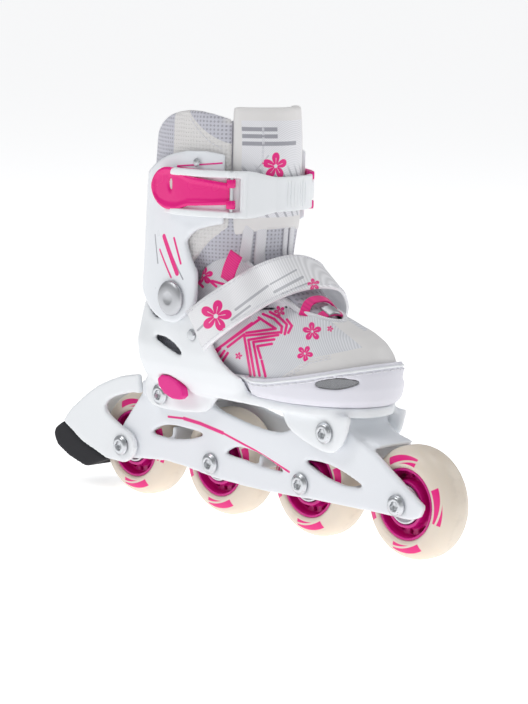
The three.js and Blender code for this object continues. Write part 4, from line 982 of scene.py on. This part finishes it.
class SKATE_OT_stage(SkateOperator):
    """Lays a white paper floor under soft studio light; the paper beyond it shows plain white."""

    bl_idname = "skate.stage"
    bl_label = "Stage"

    def make(self, sizes):
        reach = 30.0
        mesh = bpy.data.meshes.new("floor")
        corners = [(-reach, -reach, 0), (reach, -reach, 0), (reach, reach, 0), (-reach, reach, 0)]
        mesh.from_pydata(corners, [], [(0, 1, 2, 3)])
        floor = bpy.data.objects.new("floor", mesh)
        bpy.context.collection.objects.link(floor)
        paper = Finish("floor_paper", Base_Color=(0.93, 0.93, 0.935), Roughness=0.7)
        paper.shader.inputs["Emission Color"].default_value = (1, 1, 1, 1)
        paper.shader.inputs["Emission Strength"].default_value = 0.66
        mesh.materials.append(paper.material)
        world = bpy.data.worlds.new("studio")
        world.use_nodes = True
        tree = world.node_tree
        background = tree.nodes["Background"]
        background.inputs["Color"].default_value = (0.96, 0.975, 1, 1)
        seen = tree.nodes.new("ShaderNodeLightPath")
        strength = tree.nodes.new("ShaderNodeMapRange")
        strength.inputs["To Min"].default_value = 0.3
        strength.inputs["To Max"].default_value = 1.3
        tree.links.new(seen.outputs["Is Camera Ray"], strength.inputs["Value"])
        tree.links.new(strength.outputs["Result"], background.inputs["Strength"])
        bpy.context.scene.world = world
        bpy.context.scene.view_settings.view_transform = "Standard"
        lights = (
            ("key_light", (-0.7, -1.2, 1.6), 0.8, 9.0),
            ("top_light", (0.2, 0.2, 1.9), 1.0, 7.0),
            ("front_light", (1.7, -0.7, 0.7), 0.8, 2.4),
            ("back_light", (0.6, 1.6, 1.0), 1.0, 5.0),
        )
        for name, place, size, power in lights:
            data = bpy.data.lights.new(name, "AREA")
            data.shape, data.size, data.energy = "DISK", size, power
            lamp = bpy.data.objects.new(name, data)
            lamp.location = place
            aim = Vector((0, 0, 0.12)) - lamp.location
            lamp.rotation_euler = aim.to_track_quat("-Z", "Y").to_euler()
            bpy.context.collection.objects.link(lamp)


class SKATE_OT_wheels(SkateOperator):
    """Turns the cast tyres, the pierced hubs and the bearings."""

    bl_idname = "skate.wheels"
    bl_label = "Wheels"

    def make(self, sizes):
        r, half = WHEEL_RADIUS, 12.0
        shoulder = np.linspace(0, math.pi / 2, 12)
        crown = [
            (r - 9.4 + 9.4 * math.sin(a) ** 1.15, half - (half - 1.8) * (1 - math.cos(a)) ** 1.05)
            for a in shoulder[1:]
        ]
        side = [(20.4, half - 2.4), (20.4, half - 0.9), (20.9, half - 0.4), (21.6, half)]
        side += [(r - 9.4, half + 0.1)]
        profile = side + crown
        profile += [(radius, -height) for radius, height in reversed(profile)]
        profile.append(profile[0])
        tyre = lathe(profile, 96, (0, 0, 0))
        hub_mesh = self.hub_mesh()
        for number, middle in enumerate(WHEELS, 1):
            body = f"wheel_{number}"
            points, faces = tyre[0] + middle, tyre[1]
            closed_piece(f"{body}_tyre_cast", points, faces, body, "tyre", finish("urethane"), f"{body}_tyre")
            copy = hub_mesh.copy()
            move_points(copy, points_of(copy) + middle)
            register_piece(f"{body}_hub_moulded", copy, body, "hub", finish("hub_plastic"), f"{body}_hub")
            for side, sign in (("lateral", -1), ("medial", 1)):
                self.bearing(body, side, sign, middle)

    def hub_mesh(self):
        """A ring, a web and a bearing seat, with teardrop and round windows cut through the web."""
        rim, web, seat = 11.2, 5.0, 11.4
        profile = [(20.3, -rim), (20.3, rim), (18.6, rim), (18.3, web), (13.6, web), (13.4, rim), (seat, rim)]
        profile += [(seat, 5.2), (9.6, 5.0), (9.6, -5.0), (seat, -5.2)]
        profile += [(seat, -rim), (13.4, -rim), (13.6, -web), (18.3, -web), (18.6, -rim), (20.3, -rim)]
        body = outward(self.mesh_from("hub", lathe(profile, 96, (0, 0, 0))))
        holder = bpy.data.objects.new("hub_holder", body)
        bpy.context.collection.objects.link(holder)
        cutters = []
        count = 6
        turn = np.arange(24) / 24 * TAU
        for i in range(count):
            for offset, reach, high, wide in ((0.0, 16.1, 1.75, 3.5), (0.5, 16.0, 1.35, 1.35)):
                angle = (i + offset) / count * TAU
                taper = 1 - 0.55 * (0.5 - 0.5 * np.cos(turn)) if wide > 2 else 1
                u, v = wide * np.cos(turn), high * np.sin(turn) * taper
                a = angle + u / reach
                ring = np.stack([(reach + v) * np.cos(a), 0 * a, (reach + v) * np.sin(a)], -1)
                points = np.concatenate([ring + (0, -7, 0), ring + (0, 7, 0)])
                faces = grid_faces(2, 24).tolist() + [list(range(24))[::-1], list(range(24, 48))]
                cutters.append((points, faces))
        tool = bpy.data.objects.new("hub_windows", outward(self.mesh_from("hub_windows", joined(cutters))))
        bpy.context.collection.objects.link(tool)
        modifier = holder.modifiers.new("windows", "BOOLEAN")
        modifier.object, modifier.operation, modifier.solver = tool, "DIFFERENCE", "EXACT"
        graph = bpy.context.evaluated_depsgraph_get()
        cut = bpy.data.meshes.new_from_object(holder.evaluated_get(graph))
        bpy.data.objects.remove(holder)
        bpy.data.objects.remove(tool)
        cut = evaluated(cut, ("REMESH", {"mode": "VOXEL", "voxel_size": 0.0005}))
        return relaxed(cut, 3)

    def mesh_from(self, name, shape):
        """A bare mesh of a shape about the origin of the drawing."""
        mesh = bpy.data.meshes.new(name)
        mesh.from_pydata(metres(shape[0]).tolist(), [], [list(map(int, face)) for face in shape[1]])
        return mesh

    def bearing(self, body, side, sign, middle):
        """Outer race, shield and inner race as one stepped ring."""
        near, far = 5.4, 11.9
        profile = [(4.3, near), (11, near), (11, far - 0.3), (10.7, far), (9.5, far), (9.3, far - 0.5)]
        profile += [(6.6, far - 0.5), (6.4, far), (4.6, far), (4.3, far - 0.3), (4.3, near)]
        points, faces = lathe([(r, sign * y) for r, y in profile], 48, middle)
        name = f"{body}_bearing_{side}"
        closed_piece(f"{name}_rings", points, faces, body, "steel", finish("zinc_steel"), name)


class SKATE_OT_fasteners(SkateOperator):
    """Turns the flanged bolts with their sockets, the nuts, rivets and pins."""

    bl_idname = "skate.fasteners"
    bl_label = "Fasteners"

    def make(self, sizes):
        bolts = [f"wheel_{i}_axle_bolt" for i in range(1, 5)] + ["front_mount_bolt", "rear_mount_bolt"]
        for node in bolts:
            self.bolt(node, -1)
        nuts = [f"wheel_{i}_axle_nut" for i in range(1, 5)] + ["front_mount_nut", "rear_mount_nut"]
        for node in nuts:
            self.bolt(node, 1)
        self.bolt("brake_pad_screw", 1)
        for node in ("pivot_lateral", "pivot_medial"):
            self.cap(node)

    def bolt(self, node, sign):
        """A shank and a domed flange whose socket is a hexagon: its radius is the flat over the cosine."""
        low, high = (millimetres(corner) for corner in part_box(node))
        middle = (low + high) / 2
        outer, inner = (low[1], high[1]) if sign < 0 else (high[1], low[1])
        flange = (high[2] - low[2]) / 2
        shank = 3.7 if "axle" in node else 2.9
        deep = outer - sign * 2.2
        rows = [(0, deep), (0.55, deep), (2.45, deep + sign * 0.1), (2.5, outer - sign * 0.25), (2.75, outer)]
        rows += [(3.6, outer), (flange * 0.72, outer - sign * 0.15), (flange * 0.86, outer - sign * 0.7)]
        rows += [(flange * 0.88, outer - sign * 1.2), (flange * 0.99, outer - sign * 1.35)]
        rows += [(flange, outer - sign * 1.7), (flange * 0.98, outer - sign * 2.0)]
        rows += [(shank, outer - sign * 2.0), (shank, inner), (0, inner)]

        def socket(radius, row, angle):
            hexagon = 1 / np.cos((angle % (TAU / 6)) - TAU / 12)
            return np.where((row >= 2) & (row <= 3), radius * hexagon, radius)

        points, faces = lathe(rows, 48, (middle[0], 0, middle[2]), radius_at=socket)
        body = body_of(node)
        closed_piece(f"{node}_turned", points, faces, body, "steel", finish("zinc_steel"), node, merge=1e-5)

    def cap(self, node):
        """A broad low dome with a rolled edge and a shallow ring, on its stem."""
        low, high = (millimetres(corner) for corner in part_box(node))
        middle = (low + high) / 2
        sign = 1 if middle[1] > 0 else -1
        outer, inner = (high[1], low[1]) if sign > 0 else (low[1], high[1])
        flange = (high[2] - low[2]) / 2
        rows = [(0, outer - sign * 0.35), (3.2, outer - sign * 0.35), (3.7, outer - sign * 0.05)]
        rows += [(4.4, outer), (flange * 0.72, outer - sign * 0.25), (flange * 0.9, outer - sign * 0.8)]
        rows += [(flange, outer - sign * 1.9), (flange, outer - sign * 2.9), (5, outer - sign * 3.1)]
        rows += [(5, inner), (0, inner)]
        points, faces = lathe(rows, 64, (middle[0], 0, middle[2]))
        silver = finish("satin_silver")
        closed_piece(f"{node}_cap", points, faces, "chassis", "steel", silver, node, merge=1e-5)


def leg_round(points):
    """Rounds the cuff's and liner's oval facets."""
    return rounded_facets(points, -43, 45, 41.5, -50, 52)


def shell_round(points):
    """Rounds the heel shell's facets; its rear centre moves forward with height."""
    centre = np.interp(points[:, 2], [90, 100, 112, 122], [-68, -66, -56, -50])
    width = np.interp(points[:, 2], [74, 82, 90, 100, 112], [28.5, 33.6, 36.4, 37.6, 37.9])
    rear_x = [-95, -100, -104, -106, -106, -104, -98.4, -97.4]
    rear = np.interp(points[:, 2], [74, 82, 90, 100, 112, 122, 130, 146], rear_x)
    return rounded_facets(points, -6, 40, width, centre, centre - rear)


def toe_round(points):
    """Rounds the toe's facets."""
    return rounded_facets(points, 35, 53.5, 39.5)


class SKATE_OT_frame(SkateOperator):
    """Moulds the frame and the brake arm with soft edges, and the rubber pad."""

    bl_idname = "skate.frame"
    bl_label = "Frame"

    def make(self, sizes):
        moulded("frame", "chassis", "white_plastic", finish("frame_plastic"), voxel=0.001, rounds=3)
        moulded("brake_arm", "chassis", "white_plastic", finish("white_plastic"), rounds=5)
        moulded("brake_pad", "chassis", "black_rubber", finish("black_rubber"), rounds=4)


class SKATE_OT_shell(SkateOperator):
    """Moulds the heel shell, the sliding toe shell, its vents and the size button."""

    bl_idname = "skate.shell"
    bl_label = "Shell"

    def make(self, sizes):
        moulded("heel_shell", "chassis", "white_plastic", finish("white_plastic"), shell_round, 0.0012)
        moulded("toe_shell", "toe", "sole", finish("sole_plastic"), toe_round, 0.0009, 4)
        moulded("size_button", "button", "pink_plastic", finish("pink_plastic"), None, 0.0005, 4)


class SKATE_OT_cuff(SkateOperator):
    """Moulds the cuff, the ribbed strap, the lever and the catch."""

    bl_idname = "skate.cuff"
    bl_label = "Cuff"

    def make(self, sizes):
        moulded("cuff", "ankle", "white_plastic", finish("cuff_plastic"), leg_round, 0.001)
        moulded("buckle_strap", "buckle", "white_plastic", finish("white_plastic"), leg_round, 0.0007, 4)
        closed_piece("band_shoulder", *self.ramp(), "buckle", "white_plastic", finish("white_plastic"))
        lever = finish("lever_plastic")
        closed_piece("lever_handle", *self.lever(), "lever", "pink_plastic", lever, "buckle_lever")
        moulded("strap_catch", "ankle", "pink_plastic", finish("pink_plastic"), leg_round, 0.0005, 4)


    def ramp(self):
        """The band's thick front end: it thins and narrows over 26 mm, as superellipse sections."""
        angle = np.linspace(-0.7, -0.12, 50)[:, None]
        fade = smooth((angle + 0.62) / 0.45)
        turn = np.arange(48)[None, :] / 48 * TAU
        reach = (np.abs(np.cos(turn)) ** 8 + np.abs(np.sin(turn)) ** 8) ** (-1 / 8)
        height = (13.4 - 3.4 * fade) * reach * np.cos(turn)
        thick = (5.7 - 3.1 * fade) / 2
        offset = thick + thick * reach * np.sin(turn)
        x = BAND_CENTRE + (BAND_REACH + offset) * np.cos(angle)
        y = (BAND_SIDE + offset) * np.sin(angle)
        points = np.stack([x, y, BAND_HEIGHT + height], -1).reshape(-1, 3)
        faces = grid_faces(50, 48).tolist()
        return points, faces + [list(range(48)), list(range(49 * 48, 50 * 48))[::-1]]

    def lever(self):
        """A D-shaped handle on the outer side, tapering forward to two knuckles on the pin.

        Its line runs straight for 17 mm and on round the band's ellipse. Across it the section is a
        superellipse of the exponent 6, half as high as the outline at that length, with the field
        inside the rim sunk by 0.9 mm and a lens-shaped slot sunk deeper.
        """
        angle = np.linspace(-math.pi / 2, -0.8, 90)
        bend = np.stack([BAND_CENTRE + BAND_REACH * np.cos(angle), BAND_SIDE * np.sin(angle)], -1)
        line = np.concatenate([[[BAND_CENTRE - 17, -BAND_SIDE]], bend])
        run = np.concatenate([[0], np.cumsum(np.linalg.norm(np.diff(line, axis=0), axis=1))])
        nose_steps = 14 * (1 - np.cos(np.linspace(0.12, math.pi / 2, 24)))
        length = np.concatenate([nose_steps, np.linspace(14, run[-1], 72)[1:]])
        middle = np.stack([np.interp(length, run, line[:, axis]) for axis in (0, 1)], -1)
        along = np.gradient(middle, axis=0)
        out = np.stack([along[:, 1], -along[:, 0]], -1) / np.linalg.norm(along, axis=1)[:, None]
        nose = 12.2 * np.sqrt(np.clip(1 - ((14 - np.minimum(length, 14)) / 14) ** 2, 0, 1))
        half = np.where(length < 14, nose, np.interp(length, [14, 20, 28, run[-1]], [12.2, 12.0, 8.6, 6.0]))
        turn = np.arange(72) / 72 * TAU
        reach = (np.abs(np.cos(turn)) ** 6 + np.abs(np.sin(turn)) ** 6) ** (-1 / 6)
        across, thick = (reach * np.cos(turn))[None], (reach * np.sin(turn))[None]
        height = across * half[:, None]
        rim = np.minimum(half[:, None] - np.abs(height), length[:, None] * 1.1)
        sunk = 0.9 * smooth((rim - 2.0) / 1.2) * (thick > 0.5)
        lens = ((length[:, None] - 15.5) / 1.6) ** 2 + ((height - 2.4) / 3.7) ** 2
        sunk = sunk + 1.0 * smooth((1.2 - lens) / 0.4) * (thick > 0.5)
        offset = LEVER_LAYER + 1.5 + 1.5 * thick - sunk
        level = 194.4 + 1.4 * (1 - length / run[-1])[:, None]
        places = middle[:, None] + out[:, None] * offset[..., None]
        points = np.concatenate([places, (level + height)[..., None]], -1).reshape(-1, 3)
        faces = grid_faces(len(length), 72).tolist()
        last = len(points) - 72
        faces += [list(range(72)), list(range(last, last + 72))[::-1]]
        pin = middle[-1] + out[-1] * (LEVER_LAYER + 2.2)
        knuckle = [(0, -2.4), (2.2, -2.4), (2.6, -2.0), (2.6, 2.0), (2.2, 2.4), (0, 2.4)]
        knuckles = [lathe(knuckle, 32, (pin[0], pin[1], level), "z") for level in (188.4, 200.4)]
        return joined([(points, faces), *knuckles])


class SKATE_OT_lines(SkateOperator):
    """Adds the band's grip ribs, the cuff's piping and the welt and stitches of the shells and pads."""

    bl_idname = "skate.lines"
    bl_label = "Ribs, piping and stitches"

    def make(self, sizes):
        white, pink, grey = finish("white_plastic"), finish("pink_plastic"), finish("white_thread")
        ribs = []
        for angle in np.linspace(-0.04, 0.32, 7):
            x, y = BAND_CENTRE + (BAND_REACH + 2.5) * math.cos(angle), (BAND_SIDE + 2.5) * math.sin(angle)
            rib = curved([(x, y, 186.2), (x, y, 194), (x, y, 201.8)], 1.0)
            ribs.append(tube(rib, 0.85 * np.sqrt(np.sin(np.linspace(0.15, math.pi - 0.15, len(rib)))), 10))
        piece("band_ribs", *joined(ribs), "buckle", "white_plastic", white)
        cuff, toe, vamp = (bpy.data.objects[f"{node}_finished"] for node in ("cuff", "toe_shell", "vamp"))
        tongue, collar = (bpy.data.objects[f"{node}_finished"] for node in ("tongue_upper", "liner_collar"))
        piping = []
        for start, end in ((208.0, 211.5), (207.4, 206.4)):
            angle = np.linspace(-1.62, -0.92, 60)
            rise = np.linspace(start, end, 60)
            path = np.stack([BAND_CENTRE + 46 * np.cos(angle), 43 * np.sin(angle), rise], -1)
            piping.append(tube(draped(cuff, path, 0.1), 0.42, 8))
        piece("cuff_piping", *joined(piping), "ankle", "pink_plastic", pink)
        rim_x, rim_z = [-60, -20, -1, 29, 58, 77, 90], [89.5, 90, 91.4, 93.6, 99.6, 104.4, 107.4]
        turn = np.linspace(-math.pi / 2, math.pi / 2, 120)
        run = np.linspace(-16, 35, 40)
        x = np.concatenate([run[:-1], 35 + 54 * np.cos(turn), np.linspace(35, -16, 40)[1:]])
        y = np.concatenate([np.full(39, -40.0), 40 * np.sin(turn), np.full(39, 40.0)])
        for name, drop, shape in (("welt", 2.6, None), ("welt_stitches", 4.6, (3.4, 2.2))):
            path = draped(toe, np.stack([x, y, np.interp(x, rim_x, rim_z) - drop], -1), 0.15)
            made = tube(resampled(path, 1.0), 0.7, 8) if shape is None else stitches(path, *shape, 0.5)
            piece(f"toe_{name}", *made, "toe", "sole", white if shape is None else grey)
        seams = []
        for lift in (1.1, 2.6):
            near = [(u, u * 0.656 - 20.4 - lift) for u in np.linspace(8, 25.5, 40)]
            far = [(u, u * 0.208 - 8.9 - lift) for u in np.linspace(26, 37, 30)]
            crest = [(u, 48.6 - u * 0.837) for u in np.linspace(37.5 + lift, 25 + lift, 30)]
            seams.append(stitches(cast(vamp, near + far + crest), 1.9, 1.1, 0.3))
        piece("toe_cap_stitches", *joined(seams), "toe", "fabric", grey)
        rows = []
        for y in (-27.6, -25.9):
            line = np.stack([np.full(60, 20.0), np.full(60, y), np.linspace(204, 236, 60)], -1)
            rows.append(stitches(draped(tongue, line, 0.12), 1.6, 1.0, THREAD))
        piece("tongue_stitches", *joined(rows), "ankle", "fabric", grey)
        reach = np.linspace(-40, -8, 80)
        edge = np.stack([reach, np.full(80, -45.0), 221 + ((reach + 6) / 30) ** 2 * 13 - 1.6], -1)
        row = stitches(draped(collar, edge, 0.15), 1.6, 1.0, THREAD)
        piece("collar_stitches", *row, "ankle", "fabric", grey)


class SKATE_OT_upper(SkateOperator):
    """Makes the ribbed upper, the instep strap, the throat's binding and pad, the lace and the pull tab."""

    bl_idname = "skate.upper"
    bl_label = "Upper"

    def make(self, sizes):
        moulded("vamp", "toe", "fabric", finish("upper_cloth"), toe_round, 0.0009, 8)
        middles, outs = curved(STRAP_LINE), curved(STRAP_OUT, None)
        strap = tape(middles, outs, STRAP_WIDTH, 2.4)
        satin = finish("strap_satin")
        closed_piece("instep_strap_webbing", *strap, "instep", "fabric", satin, "instep_strap")
        edge = STRAP_WIDTH / 2 - 1.9
        seams = [stitches(tape_line(middles, outs, at, 1.3), 2.0, 1.1, THREAD) for at in (-edge, edge)]
        piece("strap_stitches", *joined(seams), "instep", "fabric", finish("white_thread"))
        self.throat()

    def throat(self):
        """Binds the throat's edge, fills its tip with a pad and crosses it with two short tapes."""
        vamp = bpy.data.objects["vamp_finished"]
        tree = BVHTree.FromObject(vamp, bpy.context.evaluated_depsgraph_get())
        sides = {-1: [], 1: []}
        for x in np.arange(-8, 52, 1.5):
            for side, found in sides.items():
                for y in np.arange(0, 34, 0.4):
                    place = tree.ray_cast(Vector(metres((x, side * y, 260))), Vector((0, 0, -1)))[0]
                    if place is not None and millimetres(np.array(place))[2] > 112:
                        found.append(millimetres(np.array(place)) + (0, side * 0.3, -0.2))
                        break
        path = np.array(sides[-1] + sides[1][::-1])
        for _ in range(6):
            path[1:-1] = (path[:-2] + 2 * path[1:-1] + path[2:]) / 4
        piece("throat_binding", *tube(resampled(path, 0.8), 1.6, 12), "toe", "fabric", finish("satin_ribbon"))
        turn = np.linspace(0, math.pi, 25)
        pad = lathe(np.stack([np.sin(turn), np.cos(turn)], -1), 48, (0, 0, 0), "z")
        points = pad[0] * (12.2, 11, 5.8) + (47.2, 0, 117.9)
        closed_piece("throat_pad", points, pad[1], "toe", "fabric", finish("liner_mesh"))
        tapes = []
        for x, top in ((31.0, 136.2), (41.5, 129.6)):
            ends = [(x + 2, side * 14.2, top - 8.2) for side in (-1, 1)]
            line = [ends[0], (x, -8, top - 1.8), (x, 0, top), (x, 8, top - 1.8), ends[1]]
            tapes.append(tape(curved(line), curved(LACE_OUT, None), 5.4, 1.3))
        body = body_of("lace")
        closed_piece("lace_tapes", *joined(tapes), body, "pink_fabric", finish("pink_webbing"), "lace")
        middle = curved([(40.8, -4.6, 130.0), (41.0, 0, 131.0), (40.8, 4.6, 130.0)])
        clip = tape(middle, curved([(0.5, 0, 0.9)] * 3, None), 7.2, 2.0)
        closed_piece("lace_clip", *clip, body, "steel", finish("satin_silver"))
        tab = curved([(-8.6, -35.0, 145.0), (-6.6, -35.3, 150.5), (-4.2, -35.0, 156.0), (-2.2, -34.0, 161.0)])
        out = curved([(0.1, -1, 0.15)] * 4, None)
        pull = tape(tab, out, 9.6, 1.5)
        holder, pink = body_of("pull_tab"), finish("pink_webbing")
        closed_piece("pull_tab_webbing", *pull, holder, "pink_fabric", pink, "pull_tab")


class SKATE_OT_liner(SkateOperator):
    """Makes the padded liner, collar and tongue pads, and the sock and ribbons, which are attached to no
    body.
    """

    bl_idname = "skate.liner"
    bl_label = "Liner"

    def make(self, sizes):
        moulded("liner_boot", "chassis", "mesh_fabric", finish("liner_mesh"), None, 0.0013, 8)
        for node, body, material, slot in (
            ("liner_collar", "ankle", "collar_mesh", "mesh_fabric"),
            ("tongue_upper", "ankle", "tongue_satin", "fabric"),
            ("tongue_lower", "chassis", "liner_mesh", "fabric"),
        ):
            moulded(node, body, slot, finish(material), leg_round, 0.0011, 14)
        sock = piece("ankle_sock", *self.sock(), None, "mesh_fabric", finish("liner_mesh"))
        ribbons = []
        for low, high in ((-22.4, -17.2), (-15.9, -10.0), (2.0, 6.2), (7.6, 13.4)):
            ribbons.append(self.ribbon(low, high, 150.5, 181))
        tapes = piece("throat_ribbons", *joined(ribbons), None, "fabric", finish("satin_ribbon"))
        for made in (sock, tapes):
            outward(made.data)
            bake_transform(made)

    def ring(self, z, y=None, grow=0.0, angle=None):
        """The sock's outline at a height: half an oval forward of its middle and half behind."""
        half, rear, front = (np.interp(z, SOCK[0], row) for row in SOCK[1:])
        half, rear, front = half + grow, rear - grow, front + grow
        if y is not None:
            angle = np.arcsin(np.clip(y / half, -1, 1))
        forward = np.cos(angle)
        x = BAND_CENTRE + forward * np.where(forward > 0, front - BAND_CENTRE, BAND_CENTRE - rear)
        return np.stack([x, half * np.sin(angle), np.broadcast_to(z, x.shape)], -1)

    def sock(self):
        """A tube of rings 2 mm thick, its ends closed by the same rings drawn in."""
        turn = (np.arange(144) / 144 * TAU)[None, :]
        z = np.linspace(SOCK[0][0], SOCK[0][-1], 48)[:, None]
        shell = np.concatenate([self.ring(z, None, 0, turn), self.ring(z[::-1], None, -2, turn)])
        points = np.concatenate([shell, shell[:1]]).reshape(-1, 3)
        return points, grid_faces(97, 144)

    def ribbon(self, low, high, bottom, top):
        """A flat tape over the sock, 0.9 mm thick with soft edges."""
        across, z = np.linspace(0, 1, 9)[None, :], np.linspace(bottom, top, 30)[:, None]
        y = low + (high - low) * across + 0 * z
        swell = 0.5 * np.sqrt(np.clip(1 - (2 * across - 1) ** 4, 0, 1))
        outer = self.ring(z + 0 * y, y, 0.6 + swell)
        inner = self.ring(z + 0 * y, y, 0.5 - swell * 0.4)
        points = np.concatenate([outer, inner[:, ::-1]], 1).reshape(-1, 3)
        faces = grid_faces(30, 18).tolist()
        return points, faces + [list(range(18))[::-1], list(range(522, 540))]


class SKATE_OT_trim(SkateOperator):
    """Gives the small carried-over pieces their finishes."""

    bl_idname = "skate.trim"
    bl_label = "Trim"

    def make(self, sizes):
        for record in frame["record"]["subparts"]:
            node = NODES[record["node"]]
            if node.hide_render:
                continue
            names = {
                "steel": "zinc_steel",
                "black_rubber": "black_rubber",
                "pink_fabric": "pink_webbing",
                "mesh_fabric": "vent_mesh",
            }
            material = finish(names.get(record["material_slot"], "white_plastic"))
            for index in range(max(1, len(node.material_slots))):
                if node.material_slots:
                    node.material_slots[index].link = "DATA"
                    node.data.materials[index] = material
                else:
                    node.data.materials.append(material)


OPERATORS = (
    SKATE_OT_camera,
    SKATE_OT_stage,
    SKATE_OT_wheels,
    SKATE_OT_fasteners,
    SKATE_OT_frame,
    SKATE_OT_shell,
    SKATE_OT_cuff,
    SKATE_OT_upper,
    SKATE_OT_liner,
    SKATE_OT_lines,
    SKATE_OT_trim,
)


class SKATE_PT_panel(bpy.types.Panel):
    """Lists the skate's operators, sizes and colours."""

    bl_idname = "SKATE_PT_panel"
    bl_label = "Inline Skate"
    bl_space_type = "VIEW_3D"
    bl_region_type = "UI"
    bl_category = "Skate"

    def draw(self, context):
        for operator in OPERATORS:
            self.layout.operator(operator.bl_idname)
        for group in (context.scene.skate_sizes, context.scene.skate_finishes):
            for key in type(group).__annotations__:
                self.layout.prop(group, key)


CLASSES = (SkateFinishes, SkateSizes, *OPERATORS, SKATE_PT_panel)


def register():
    for kind in CLASSES:
        bpy.utils.register_class(kind)
    bpy.types.Scene.skate_finishes = PointerProperty(type=SkateFinishes)
    bpy.types.Scene.skate_sizes = PointerProperty(type=SkateSizes)


def unregister():
    del bpy.types.Scene.skate_sizes
    del bpy.types.Scene.skate_finishes
    for kind in reversed(CLASSES):
        bpy.utils.unregister_class(kind)


def main():
    """Makes the stage and every piece."""
    register()
    for operator in OPERATORS:
        group, name = operator.bl_idname.split(".")
        getattr(getattr(bpy.ops, group), name)()


if __name__ == "__main__":
    main()
